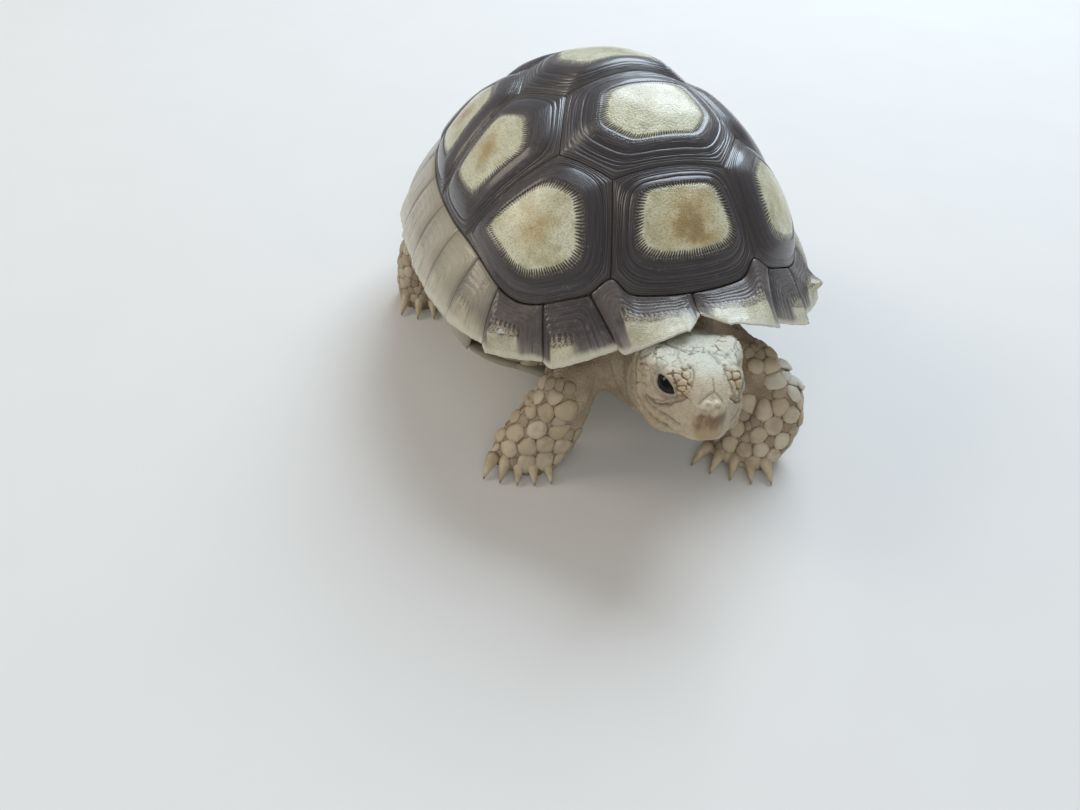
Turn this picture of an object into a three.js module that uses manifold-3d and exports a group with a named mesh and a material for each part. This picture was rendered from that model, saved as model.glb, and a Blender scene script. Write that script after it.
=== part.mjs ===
// A yearling sulcata tortoise standing with its neck half out, modelled in millimetres.
// +Z is up, the head points along -Y and the animal's left side is +X.
// The floor is at z = 0 and the origin is under the middle of the animal.

import * as THREE from 'three';
import { mergeVertices } from 'three/addons/utils/BufferGeometryUtils.js';
import Module from 'manifold-3d';

const wasm = await Module();
wasm.setup();

// ---- driving dimensions -------------------------------------------------------------

const gap = 0.3; // clearance between neighbouring pieces
const standHeight = 18; // floor to the level that the dome is measured from

// the dome of the carapace is a superellipsoid, longer behind its middle than before it
const dome = { side: 34.7, front: 36.8, rear: 51.2, height: 40.9, planPower: 2.23, wallPower: 1.735, reach: 1.431 };
const plateThickness = 1.4;
const trunkClearance = 1.1; // between the plates and the flesh under them

// the free edge of the shell
const rim = { side: 34.8, front: 37.2, rear: 52.6, planPower: 2.3, level: 8, lift: 9, liftWidth: 19, drop: 3.6, edge: 0.7 };

// seams between the marginals, as angles round the dome from the front: at the top edge and at the rim
const marginalSeams = [
  { top: 0, rim: 0 },
  { top: 30.5, rim: 22 },
  { top: 42.5, rim: 39 },
  { top: 56.7, rim: 55.5 },
  { top: 67, rim: 70 },
  { top: 81, rim: 83.5 },
  { top: 95, rim: 95.5 },
  { top: 108, rim: 108 },
  { top: 121, rim: 120.5 },
  { top: 134, rim: 133.5 },
  { top: 148, rim: 147 },
  { top: 164, rim: 163 },
];
const marginalTooth = [1.3, 1.5, 1.3, 0.4, 0.3, 0.3, 0.4, 0.7, 1, 1.1, 1.1]; // how far each marginal's corner stands out
const notchDepth = 3; // the gap between the two first marginals, over the neck
const bridge = { from: 63, full: 70, fade: 104, to: 111, x: 29.3, z: -1.3 }; // where the marginals turn under to the plastron

// seams of the dome on its own map: u to the left, v to the rear, the apex at 0, the rim at radius 1
const seam = {
  v1v2: [0.209, -0.389],
  v2Side: [0.336, -0.232],
  v2v3: [0.227, -0.023],
  v3Side: [0.33, 0.131],
  v3v4: [0.215, 0.275],
  v4Side: [0.31, 0.405],
  v4v5: [0.19, 0.52],
};
const costalSeams = { front: 25, first: 76.6, second: 98, third: 121, rear: 148 }; // angles where they meet the marginals
const vertebralRise = [1.1, 1.3, 1.2, 1.1, 0.9]; // doming of each plate's middle over its seams
const costalRise = [1.2, 1.2, 1.1, 0.9];

const plastron = { level: -5.4, flat: 19.5, turn: 10.6, rise: 4.8, edge: 28.6 };

const head = { at: [-3.2, -39.8, 9.6], turn: 12, lift: 16 };
const eye = { radius: 2.5, at: [3.9, -4.2, 1.3] };

// ---- small helpers ------------------------------------------------------------------

const vec = (x, y, z) => new THREE.Vector3(x, y, z);
const radians = THREE.MathUtils.degToRad;
const { lerp, smoothstep } = THREE.MathUtils;

function pointsToGeometry(points, faces) {
  const geometry = new THREE.BufferGeometry();
  geometry.setAttribute('position', new THREE.Float32BufferAttribute(points.flatMap((p) => [p.x, p.y, p.z]), 3));
  geometry.setIndex(faces.flat());
  return geometry;
}

// a closed skin over a row of rings with the same number of points, which run
// anticlockwise seen from the first ring's outside; each end is closed on a middle point
function loft(rings, firstMiddle, lastMiddle) {
  const count = rings[0].length;
  const points = rings.flat();
  const faces = [];
  for (let r = 0; r + 1 < rings.length; r++) {
    for (let i = 0; i < count; i++) {
      const a = r * count + i;
      const b = r * count + ((i + 1) % count);
      faces.push([a, a + count, b], [b, a + count, b + count]);
    }
  }
  const first = points.push(firstMiddle ?? middleOf(rings[0])) - 1;
  const last = points.push(lastMiddle ?? middleOf(rings.at(-1))) - 1;
  const lastStart = (rings.length - 1) * count;
  for (let i = 0; i < count; i++) {
    const next = (i + 1) % count;
    faces.push([first, i, next], [last, lastStart + next, lastStart + i]);
  }
  return outward(pointsToGeometry(points, faces));
}

function middleOf(points) {
  const sum = vec(0, 0, 0);
  for (const p of points) sum.add(p);
  return sum.divideScalar(points.length);
}

function signedVolume(geometry) {
  const p = geometry.getAttribute('position');
  const index = geometry.getIndex().array;
  const [a, b, c] = [vec(0, 0, 0), vec(0, 0, 0), vec(0, 0, 0)];
  let volume = 0;
  for (let i = 0; i < index.length; i += 3) {
    a.fromBufferAttribute(p, index[i]);
    b.fromBufferAttribute(p, index[i + 1]);
    c.fromBufferAttribute(p, index[i + 2]);
    volume += a.dot(b.cross(c)) / 6;
  }
  return volume;
}

function outward(geometry) {
  if (signedVolume(geometry) < 0) {
    const index = geometry.getIndex().array;
    for (let i = 0; i < index.length; i += 3) [index[i + 1], index[i + 2]] = [index[i + 2], index[i + 1]];
  }
  return geometry;
}

function toSolid(geometry) {
  const bare = geometry.index ? geometry.clone() : geometry;
  bare.deleteAttribute('normal');
  bare.deleteAttribute('uv');
  const merged = mergeVertices(bare, 1e-5);
  const vertProperties = Float32Array.from(merged.getAttribute('position').array);
  const triVerts = Uint32Array.from(merged.getIndex().array);
  return new wasm.Manifold(new wasm.Mesh({ numProp: 3, vertProperties, triVerts }));
}

function toGeometry(solid) {
  const mesh = solid.getMesh();
  const geometry = new THREE.BufferGeometry();
  geometry.setAttribute('position', new THREE.BufferAttribute(Float32Array.from(mesh.vertProperties), 3));
  geometry.setIndex(new THREE.BufferAttribute(Uint32Array.from(mesh.triVerts), 1));
  return geometry;
}

const tortoise = new THREE.Group();

function addPiece(name, geometry, { color, roughness = 0.6, metalness = 0 }) {
  const material = new THREE.MeshStandardMaterial({ color, roughness, metalness });
  const mesh = new THREE.Mesh(geometry, material);
  mesh.name = name;
  tortoise.add(mesh);
}

const finish = {
  plate: { color: 0x4a3f40, roughness: 0.35 },
  marginal: { color: 0x9a8c74, roughness: 0.45 },
  plastron: { color: 0xd8c79a, roughness: 0.55 },
  skin: { color: 0xb39a78, roughness: 0.75 },
  head: { color: 0xc9b894, roughness: 0.65 },
  eye: { color: 0x14100e, roughness: 0.08 },
};

// ---- the shell's surfaces -----------------------------------------------------------

// a point of the dome from its map, let in or out by offset along the surface's normal
function domePoint(u, v, offset = 0) {
  const swing = Math.hypot(u, v) * dome.reach;
  const round = Math.atan2(v, u);
  const direction = vec(Math.sin(swing) * Math.cos(round), Math.sin(swing) * Math.sin(round), Math.cos(swing));
  const plan = Math.abs(direction.x) ** dome.planPower + Math.abs(direction.y) ** dome.planPower;
  const size = (plan ** (dome.wallPower / dome.planPower) + direction.z ** dome.wallPower) ** (-1 / dome.wallPower);
  const length = direction.y < 0 ? dome.front : dome.rear;
  const point = direction.clone().multiply(vec(dome.side, length, dome.height)).multiplyScalar(size);
  return point.addScaledVector(domeNormal(point), offset);
}

function domeNormal(point) {
  const length = point.y < 0 ? dome.front : dome.rear;
  const [x, y, z] = [point.x / dome.side, point.y / length, point.z / dome.height];
  const p = dome.planPower;
  const q = dome.wallPower;
  const plan = Math.max(Math.abs(x) ** p + Math.abs(y) ** p, 1e-9);
  const share = plan ** (q / p - 1);
  return vec(
    (share * Math.abs(x) ** (p - 1) * Math.sign(x)) / dome.side,
    (share * Math.abs(y) ** (p - 1) * Math.sign(y)) / length,
    Math.abs(z) ** (q - 1) / dome.height,
  ).normalize();
}

// where the marginals' top edge runs on the dome's map, by angle from the front in degrees
function topEdge(angle) {
  const turn = Math.abs(angle);
  const shoulder = 0.08 * Math.exp(-(((turn - 50) / 15) ** 2));
  const peak = 0.045 * Math.exp(-(((turn - 25) / 4) ** 2));
  return 0.752 + shoulder - peak;
}

function topEdgeMap(angle, shift = 0) {
  const radius = topEdge(angle) + shift;
  return [radius * Math.sin(radians(angle)), -radius * Math.cos(radians(angle))];
}

// a point of the free edge, pushed outward by the marginals' teeth
function rimPoint(angle, out) {
  const [x, y] = [Math.sin(radians(angle)), -Math.cos(radians(angle))];
  const size = (Math.abs(x) ** rim.planPower + Math.abs(y) ** rim.planPower) ** (-1 / rim.planPower);
  const length = y < 0 ? rim.front : rim.rear;
  const point = vec(x * size * rim.side, y * size * length, rim.level);
  const away = vec(x / rim.side, y / length, 0).normalize();
  point.addScaledVector(away, out);
  if (y < 0) point.z += rim.lift * Math.exp(-((Math.abs(point.x) / rim.liftWidth) ** 2.5));
  else point.z -= rim.drop * smoothstep(point.y, 6, 40);
  return { point, away };
}

function plastronLevel(x) {
  const past = Math.max(Math.abs(x) - plastron.flat, 0) / plastron.turn;
  return plastron.level + plastron.rise * past ** 2;
}

// ---- the plates ---------------------------------------------------------------------

// points along a closed outline, each side cut into parts no longer than step
function divide(outline, step) {
  const points = [];
  outline.forEach((corner, i) => {
    const next = outline[(i + 1) % outline.length];
    const length = Math.hypot(next[0] - corner[0], next[1] - corner[1]);
    const parts = Math.max(1, Math.round(length / step));
    for (let k = 0; k < parts; k++) points.push([lerp(corner[0], next[0], k / parts), lerp(corner[1], next[1], k / parts)]);
  });
  return points;
}

// moves a ring of surface points in by half the gap, square to the outline
function letIn(ring, normals, inset) {
  return ring.map((point, i) => {
    const before = ring[(i + ring.length - 1) % ring.length];
    const after = ring[(i + 1) % ring.length];
    const first = point.clone().sub(before).normalize();
    const second = after.clone().sub(point).normalize();
    const inFirst = normals[i].clone().cross(first).normalize();
    const inSecond = normals[i].clone().cross(second).normalize();
    const inward = inFirst.add(inSecond).normalize();
    const spread = Math.max(0.6, inward.dot(normals[i].clone().cross(second).normalize()));
    return point.clone().addScaledVector(inward, inset / spread);
  });
}

// a thin plate over an outline of the surface's map, domed over its growth centre;
// the outline runs anticlockwise seen from outside
function plate(outline, surface, { step, centre, thickness = plateThickness, rise = 0 }) {
  const map = divide(outline, step);
  const towards = (share) => map.map(([u, v]) => [lerp(u, centre[0], share), lerp(v, centre[1], share)]);
  const ringAt = (share, offset) => towards(share).map(([u, v]) => surface(u, v, offset));
  const sink = -0.25 * rise;
  const border = ringAt(0, sink);
  const normals = border.map((point, i) => point.clone().sub(surface(map[i][0], map[i][1], sink - 1)).normalize());
  const top = letIn(border, normals, gap / 2);
  const bottom = top.map((point, i) => point.clone().addScaledVector(normals[i], -thickness));
  const rings = [
    ringAt(0.5, -thickness),
    bottom,
    top,
    ringAt(0.22, 0.3 * rise),
    ringAt(0.46, 0.7 * rise),
  ];
  return loft(rings, surface(centre[0], centre[1], -thickness), surface(centre[0], centre[1], 0.75 * rise));
}

const mirrored = (outline) => outline.map(([u, v]) => [-u, v]).reverse();
const meanOf = (outline) => [0, 1].map((k) => outline.reduce((sum, corner) => sum + corner[k], 0) / outline.length);

// where each marginal is cut along its length; the first has a corner that the second plate's edge shares
const marginalCuts = (index) => (index === 0 ? [0, 0.42, 0.82, 1] : [0, 0.5, 0.82, 1]);

// the marginals' seams and the cuts between them, along the top edge
function topEdgeRun(from, to) {
  const all = marginalSeams.flatMap(({ top }, i) => {
    const next = marginalSeams[i + 1]?.top ?? 180;
    return marginalCuts(i).slice(0, i === 0 ? 3 : 2).map((share) => lerp(top, next, share));
  });
  const inside = all.filter((a) => a > from + 1 && a < to - 1);
  return [from, ...inside, to].map((a) => topEdgeMap(a));
}

function addVertebrals() {
  const { v1v2, v2Side, v2v3, v3Side, v3v4, v4Side, v4v5 } = seam;
  const frontSide = topEdgeMap(costalSeams.front);
  const rearSide = topEdgeMap(costalSeams.rear);
  const other = ([u, v]) => [-u, v];
  const frontRun = topEdgeRun(0, costalSeams.front);
  const rearRun = topEdgeRun(costalSeams.rear, 180);
  const outlines = [
    [v1v2, other(v1v2), other(frontSide), ...mirrored(frontRun).slice(1), ...frontRun.slice(1)],
    [v1v2, v2Side, v2v3, other(v2v3), other(v2Side), other(v1v2)],
    [v2v3, v3Side, v3v4, other(v3v4), other(v3Side), other(v2v3)],
    [v3v4, v4Side, v4v5, other(v4v5), other(v4Side), other(v3v4)],
    [v4v5, rearSide, ...rearRun.slice(1), ...mirrored(rearRun).slice(1, -1), other(rearSide), other(v4v5)],
  ];
  outlines.forEach((outline, i) => {
    const unique = outline.filter((c, k) => {
      const before = outline[(k + outline.length - 1) % outline.length];
      return Math.hypot(c[0] - before[0], c[1] - before[1]) > 1e-6;
    });
    const [, v] = meanOf(unique);
    addPiece(`vertebral_${i + 1}`, plate(counterClockwise(unique), domePoint, { step: 0.14, centre: [0, v + 0.03], rise: vertebralRise[i] }), finish.plate);
  });
}

function addCostals() {
  const { v1v2, v2Side, v2v3, v3Side, v3v4, v4Side, v4v5 } = seam;
  const { front, first, second, third, rear } = costalSeams;
  const outlines = [
    [v1v2, ...topEdgeRun(front, first), v2Side],
    [v2Side, ...topEdgeRun(first, second), v3Side, v2v3],
    [v3Side, ...topEdgeRun(second, third), v4Side, v3v4],
    [v4Side, ...topEdgeRun(third, rear), v4v5],
  ];
  outlines.forEach((outline, i) => {
    const [u, v] = meanOf(outline);
    const centre = [u * 0.93, v + 0.02];
    for (const [side, sign] of [['left', 1], ['right', -1]]) {
      const turned = sign > 0 ? outline : mirrored(outline);
      const options = { step: 0.14, centre: [sign * centre[0], centre[1]], rise: costalRise[i] };
      addPiece(`costal_${side}_${i + 1}`, plate(counterClockwise(turned), domePoint, options), finish.plate);
    }
  });
}

function counterClockwise(outline) {
  let area = 0;
  outline.forEach(([u, v], i) => {
    const [nextU, nextV] = outline[(i + 1) % outline.length];
    area += u * nextV - nextU * v;
  });
  return area > 0 ? outline : [...outline].reverse();
}

// the tooth of a marginal along its own length: the first falls away to the notch
function tooth(index, share) {
  const height = marginalTooth[index];
  const corner = share < 0.82 ? share / 0.82 : (1 - share) / 0.18;
  if (index > 0) return height * corner;
  return share < 0.26 ? lerp(-notchDepth, 0.4 * height, share / 0.26) : lerp(0.4, 1, (share - 0.26) / 0.56) * height * Math.min(1, corner * 2);
}

// one cut through a marginal: out over its top, round the rim, back under and up inside
function marginalSection(topAngle, rimAngle, out, flip) {
  const [u, v] = topEdgeMap(topAngle, 0.0035);
  const top = domePoint(u, v, -0.25);
  const normal = domeNormal(top);
  const { point: edge, away } = rimPoint(rimAngle, out);
  const under = smoothstep(rimAngle, bridge.from, bridge.full) * (1 - smoothstep(rimAngle, bridge.fade, bridge.to));
  const crown = lerp(-0.3, 0.7, smoothstep(rimAngle, 20, 60));
  const between = (share) => top.clone().lerp(edge, share).addScaledVector(normal, crown * 4 * share * (1 - share));
  const inner = away.clone().negate();
  const free = edge.clone().addScaledVector(inner, 4.2).add(vec(0, 0, -0.2));
  const turned = vec(lerp(free.x, bridge.x * Math.sign(edge.x || 1), under), free.y, lerp(free.z, bridge.z, under));
  const lowerEdge = edge.clone().add(vec(0, 0, -rim.edge)).addScaledVector(inner, 0.25);
  const lowerMiddle = lowerEdge.clone().lerp(turned, 0.5).addScaledVector(away, 0.5 * under);
  const innerTurned = turned.clone().add(vec(0, 0, 1.1)).addScaledVector(inner, 0.15 * under);
  const wall = between(0.62).addScaledVector(normal, -1.25);
  const innerMiddle = wall.lerp(edge.clone().addScaledVector(inner, 2.7).add(vec(0, 0, 0.2)), under);
  const innerTop = top.clone().addScaledVector(normal, -plateThickness);
  const ring = [top, between(0.4), between(0.75), edge, lowerEdge, lowerMiddle, turned, innerTurned, innerMiddle, innerTop];
  if (flip) ring.forEach((p) => (p.x = -p.x));
  return ring;
}

function addMarginals() {
  const endGap = 0.26; // degrees, which is half the clearance at the rim
  for (let i = 0; i + 1 < marginalSeams.length; i++) {
    const a = marginalSeams[i];
    const b = marginalSeams[i + 1];
    for (const [side, flip] of [['left', false], ['right', true]]) {
      const sections = marginalCuts(i).map((share) => {
        const topAngle = lerp(a.top + endGap, b.top - endGap, share);
        const rimAngle = lerp(a.rim + endGap, b.rim - endGap, share);
        return marginalSection(topAngle, rimAngle, tooth(i, share), flip);
      });
      addPiece(`marginal_${side}_${i + 1}`, loft(sections), finish.marginal);
    }
  }
  const last = marginalSeams.at(-1);
  const sections = [-1, -0.5, 0, 0.5, 1].map((share) => {
    const swing = Math.abs(share);
    const topAngle = lerp(180, last.top + endGap, swing);
    const rimAngle = lerp(180, last.rim + endGap, swing);
    return marginalSection(topAngle, rimAngle, 0.9 * (1 - swing ** 2), share < 0);
  });
  addPiece('supracaudal', loft(sections), finish.marginal);
}

function addPlastron() {
  const surface = (x, y, offset = 0) => vec(x, y, plastronLevel(x) - offset);
  const { edge } = plastron;
  const outlines = {
    gular: [[0, -25.4], [3, -27.2], [5.8, -26.2], [7, -23.2], [0, -19.4]],
    humeral: [[0, -19.4], [7, -23.2], [12, -21], [18, -16.6], [21.2, -13.6], [0, -9]],
    pectoral: [[0, -9], [21.2, -13.6], [edge - 2.5, -11.8], [edge, -10.5], [edge, -5.2], [20, -3.6], [0, -5.4]],
    abdominal: [[0, -5.4], [20, -3.6], [edge, -5.2], [edge, 13.5], [edge - 2.5, 15.6], [21.6, 17.6], [0, 13]],
    femoral: [[0, 13], [21.4, 17.6], [19, 25], [16, 31.6], [0, 27]],
    anal: [[0, 27], [16, 31.6], [12.6, 39.4], [7.6, 42], [0, 36.4]],
  };
  for (const [name, outline] of Object.entries(outlines)) {
    for (const [side, sign] of [['left', 1], ['right', -1]]) {
      const turned = sign > 0 ? outline : mirrored(outline);
      const centre = meanOf(turned);
      const clockwise = [...counterClockwise(turned)].reverse(); // the outside of these plates faces down
      addPiece(`${name}_${side}`, plate(clockwise, surface, { step: 12, centre, rise: 0.25 }), finish.plastron);
    }
  }
}

// ---- the flesh ----------------------------------------------------------------------

// the body inside the shell; grow makes the same shape larger, to cut its neighbours with
function trunkGeometry(grow = 0) {
  const count = 28;
  const shrink = plateThickness + trunkClearance - grow;
  const lower = [
    { z: -3.5 - grow, side: 18, front: 21, rear: 36.5 },
    { z: -2.1, side: 23, front: 23, rear: 38.5 },
    { z: 1.6, side: 27.4, front: 24.5, rear: 40 },
    { z: 8, side: 28.6, front: 25.5, rear: 40.5 },
    { z: 14, side: 28, front: 26, rear: 40.5 },
  ];
  const height = dome.height - shrink;
  const upper = [17.6, 22.5, 27.5, 32, 35.5, 37.8].map((z) => {
    const scale = (1 - (z / height) ** dome.wallPower) ** (1 / dome.wallPower);
    return { z, side: (dome.side - shrink) * scale, front: (dome.front - shrink) * scale, rear: (dome.rear - shrink) * scale };
  });
  const ring = ({ z, side, front, rear }, extra) =>
    Array.from({ length: count }, (_, i) => {
      const a = (i / count) * 2 * Math.PI;
      const [x, y] = [Math.cos(a), Math.sin(a)];
      const size = (Math.abs(x) ** dome.planPower + Math.abs(y) ** dome.planPower) ** (-1 / dome.planPower);
      return vec(x * size * (side + extra), y * size * ((y < 0 ? front : rear) + extra), z);
    });
  const rings = [...lower.map((r) => ring(r, grow)), ...upper.map((r) => ring(r, 0))];
  return loft(rings, vec(0, 5, -3.5 - grow), vec(0, 0, height));
}

// the room that the front plates of the plastron need in the flesh over and before them
function plastronFrontCutter() {
  const half = [[3.2, -27.6], [6.2, -26.6], [7.4, -23.6], [12.2, -21.5], [18.4, -17], [22, -13.9], [22, 0]];
  const outline = [...mirrored(half), ...half];
  const shape = new THREE.Shape(outline.map(([x, y]) => new THREE.Vector2(x, y)));
  const depth = plateThickness + 2 * gap;
  const block = new THREE.ExtrudeGeometry(shape, { depth, bevelEnabled: false });
  return toSolid(block.translate(0, 0, plastron.level - gap));
}

// a limb along a smooth path: each station has a middle, half its width across and half its depth through;
// facing is the side that the limb's flat face looks to
function limbGeometry(stations, { facing, steps, count = 12, grow = 0, domeEnd = 0.5 }) {
  const path = new THREE.CatmullRomCurve3(stations.map((s) => vec(...s.at)));
  const value = (key, t) => {
    const place = t * (stations.length - 1);
    const i = Math.min(Math.floor(place), stations.length - 2);
    return lerp(stations[i][key], stations[i + 1][key], smoothstep(place - i, 0, 1) * 0.5 + (place - i) * 0.5);
  };
  const rings = [];
  for (let k = 0; k <= steps; k++) {
    const t = k / steps;
    const middle = path.getPoint(t);
    const along = path.getTangent(t);
    const across = along.clone().cross(vec(...facing)).normalize();
    const through = across.clone().cross(along).normalize();
    const [wide, deep] = [value('across', t) + grow, value('through', t) + grow];
    rings.push(
      Array.from({ length: count }, (_, i) => {
        const a = (i / count) * 2 * Math.PI;
        return middle.clone().addScaledVector(across, wide * Math.cos(a)).addScaledVector(through, deep * Math.sin(a));
      }),
    );
  }
  const end = path.getPoint(1).addScaledVector(path.getTangent(1), domeEnd);
  return loft(rings, path.getPoint(0), end);
}

// a claw bends from its root towards its tip and tapers to a blunt point
function clawGeometry(root, tip, radius, bend) {
  const curve = new THREE.QuadraticBezierCurve3(root, root.clone().lerp(tip, 0.5).add(vec(0, 0, bend)), tip);
  const rings = [0, 0.5, 1].map((t) => {
    const along = curve.getTangent(t);
    const across = along.clone().cross(vec(0, 0, 1)).normalize();
    const up = across.clone().cross(along).normalize();
    const size = radius * (1 - 0.8 * t);
    return Array.from({ length: 6 }, (_, i) => {
      const a = (i / 6) * 2 * Math.PI;
      return curve.getPoint(t).addScaledVector(across, size * Math.cos(a)).addScaledVector(up, size * Math.sin(a));
    });
  });
  return loft(rings);
}

const legs = {
  front_left_leg: {
    stations: [
      { at: [8.6, -16.5, 2.6], across: 4.6, through: 4.2 },
      { at: [12.3, -20.7, 1.3], across: 4.6, through: 4.2 },
      { at: [16.1, -25.5, -1.9], across: 5.2, through: 4.6 },
      { at: [19.9, -30.2, -6.3], across: 6.2, through: 4.9 },
      { at: [19.6, -32.4, -11], across: 6.6, through: 4.6 },
      { at: [16.2, -33, -15.6], across: 6.6, through: 4 },
      { at: [14.8, -33, -18.6], across: 5.7, through: 3.4 },
    ],
    facing: [-0.5, -0.85, 0.1],
    foot: { at: [14.9, -32.9], across: [0.81, -0.59], toes: [-0.59, -0.81], width: 5.6, root: 2.1, reach: 5.4 },
    claws: 5,
  },
  front_right_leg: {
    stations: [
      { at: [-6.6, -16, 2.6], across: 4.4, through: 4.2 },
      { at: [-10.6, -20, 2.2], across: 4.5, through: 4.2 },
      { at: [-14, -22.9, -1], across: 4.7, through: 4.4 },
      { at: [-16, -23.5, -6.4], across: 5.2, through: 4.5 },
      { at: [-19, -23.8, -12], across: 5.8, through: 4.2 },
      { at: [-22.4, -23.8, -16.2], across: 5.9, through: 3.9 },
      { at: [-23.6, -23.8, -18.6], across: 5.1, through: 3.3 },
    ],
    facing: [-0.25, -0.9, 0.35],
    foot: { at: [-23.2, -23.7], across: [0.93, -0.37], toes: [-0.37, -0.93], width: 5.1, root: 2, reach: 4.8 },
    claws: 5,
  },
  hind_left_leg: {
    stations: [
      { at: [11, 24, 3.6], across: 5.2, through: 4.2 },
      { at: [18, 30.4, 1.9], across: 5.4, through: 4.3 },
      { at: [24.2, 35.6, -4.9], across: 5.7, through: 5.4 },
      { at: [25.6, 37.2, -10.6], across: 5.7, through: 5.7 },
      { at: [25.4, 37.4, -15.8], across: 6, through: 6 },
      { at: [25.4, 37.4, -18.6], across: 5.7, through: 5.7 },
    ],
    facing: [0.3, -0.95, 0],
    foot: { at: [25.4, 37.4], across: [0.97, 0.24], toes: [0.24, -0.97], width: 4.2, root: 4.2, reach: 7.8 },
    claws: 4,
  },
  hind_right_leg: {
    stations: [
      { at: [-11, 21, 3.6], across: 5.2, through: 4.2 },
      { at: [-18.6, 27.4, 2.4], across: 5, through: 4.2 },
      { at: [-25.4, 30.4, -4.6], across: 5.6, through: 5.4 },
      { at: [-27, 31, -10.6], across: 5.7, through: 5.7 },
      { at: [-26.8, 30.8, -15.8], across: 6, through: 6 },
      { at: [-26.8, 30.6, -18.6], across: 5.7, through: 5.7 },
    ],
    facing: [-0.3, -0.95, 0],
    foot: { at: [-26.8, 30.7], across: [0.97, -0.24], toes: [-0.24, -0.97], width: 4.2, root: 4.2, reach: 7.8 },
    claws: 4,
  },
};

function legSolid({ stations, facing, foot, claws }, trunk, floor) {
  let leg = toSolid(limbGeometry(stations, { facing, steps: 10 }));
  const toes = vec(foot.toes[0], foot.toes[1], 0);
  const across = vec(foot.across[0], foot.across[1], 0);
  for (let i = 0; i < claws; i++) {
    const share = (2 * i) / (claws - 1) - 1;
    const root = vec(foot.at[0], foot.at[1], -standHeight + 2.2)
      .addScaledVector(across, share * foot.width * 0.86)
      .addScaledVector(toes, foot.root * (1 - 0.35 * share * share));
    const spread = toes.clone().addScaledVector(across, 0.3 * share).normalize();
    const tip = root.clone().addScaledVector(spread, foot.reach - foot.root * 0.6);
    tip.z = -standHeight + 0.25;
    leg = leg.add(toSolid(clawGeometry(root, tip, 1.25, 0.9)));
  }
  return leg.subtract(trunk).subtract(plastronFrontCutter()).subtract(floor);
}

// ---- head, neck and tail ------------------------------------------------------------

// how the head grows from the snout to the nape: half width, top and underside at each place, and how square it is
const headShape = [
  { y: -10.8, half: 1.3, top: 0.3, low: -3, square: 2.2 },
  { y: -10.3, half: 2.3, top: 1.2, low: -4.3, square: 2.2 },
  { y: -9.4, half: 3, top: 2.1, low: -5.1, square: 2.3 },
  { y: -8.2, half: 3.9, top: 3.1, low: -5.5, square: 2.4 },
  { y: -6.4, half: 5.1, top: 4.2, low: -5.8, square: 2.5 },
  { y: -3.9, half: 6.4, top: 5.1, low: -6.1, square: 2.7 },
  { y: -0.5, half: 7.4, top: 5.8, low: -6.5, square: 2.9 },
  { y: 3, half: 7.7, top: 6.1, low: -7.2, square: 3 },
  { y: 6, half: 7.3, top: 5.8, low: -8, square: 2.8 },
  { y: 8.3, half: 6.8, top: 5.2, low: -8.4, square: 2.6 },
];

function headSection(share, count) {
  const place = share * (headShape.length - 1);
  const i = Math.min(Math.floor(place), headShape.length - 2);
  const at = (key) => lerp(headShape[i][key], headShape[i + 1][key], place - i);
  return Array.from({ length: count }, (_, k) => {
    const a = (k / count) * 2 * Math.PI;
    const [c, s] = [Math.cos(a), Math.sin(a)];
    const power = at('square');
    const size = (Math.abs(c) ** power + Math.abs(s) ** power) ** (-1 / power);
    const point = vec(c * size * at('half'), at('y'), s * size * (s > 0 ? at('top') : -at('low')));
    return browed(point);
  });
}

// the brow stands out over each eye, and the cheek behind the jaw's corner
function browed(point) {
  const bumps = [
    { at: [6.5, -3.4, 3.1], out: 1.2, size: 2.5 },
    { at: [7.3, 3.2, -2.6], out: 0.4, size: 3 },
  ];
  for (const { at, out, size } of bumps) {
    for (const sign of [1, -1]) {
      const far = point.distanceTo(vec(sign * at[0], at[1], at[2]));
      const away = vec(point.x, 0, point.z * 0.6).normalize();
      point.addScaledVector(away, out * Math.exp(-((far / size) ** 2)));
    }
  }
  return point;
}

const headPlace = new THREE.Matrix4()
  .makeTranslation(...head.at)
  .multiply(new THREE.Matrix4().makeRotationZ(radians(-head.turn)))
  .multiply(new THREE.Matrix4().makeRotationX(radians(-head.lift)));

function headRings(count) {
  const steps = 18;
  return Array.from({ length: steps + 1 }, (_, i) => headSection(i / steps, count));
}

function headSolid() {
  const geometry = loft(headRings(24), vec(0, -10.95, -1.3), vec(0, headShape.at(-1).y, -1.6));
  let solid = toSolid(geometry);
  for (const sign of [1, -1]) {
    const socket = new THREE.SphereGeometry(eye.radius + gap, 14, 9);
    socket.translate(sign * eye.at[0], eye.at[1], eye.at[2]);
    solid = solid.subtract(toSolid(socket));
  }
  return solid;
}

// the neck starts on the head's own last section and widens into the shoulders; its throat sags
function neckSolid(trunk, legCutters) {
  const count = 16;
  const start = headSection(1, count).map((p) => vec(p.x, p.y + gap, p.z).applyMatrix4(headPlace));
  const startMiddle = middleOf(start);
  const bodyEnd = { at: vec(-0.4, -21.5, 4.2), half: 11.6, high: 9.6 };
  const throat = 3.2;
  const cheeks = 1.1;
  const rings = [start];
  const steps = 6;
  for (let k = 1; k <= steps; k++) {
    const t = k / steps;
    rings.push(
      start.map((p, i) => {
        const a = (i / count) * 2 * Math.PI;
        const end = bodyEnd.at.clone().add(vec(bodyEnd.half * Math.cos(a), 0, bodyEnd.high * Math.sin(a)));
        const loose = Math.sin(Math.PI * t);
        const slack = vec(cheeks * Math.cos(a), 0, -throat * (0.55 - 0.45 * Math.sin(a))).multiplyScalar(loose);
        return p.clone().lerp(end, t).add(slack);
      }),
    );
  }
  let neck = toSolid(loft(rings, startMiddle, bodyEnd.at)).subtract(trunk);
  for (const cutter of legCutters) neck = neck.subtract(cutter);
  return neck.subtract(plastronFrontCutter());
}

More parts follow.
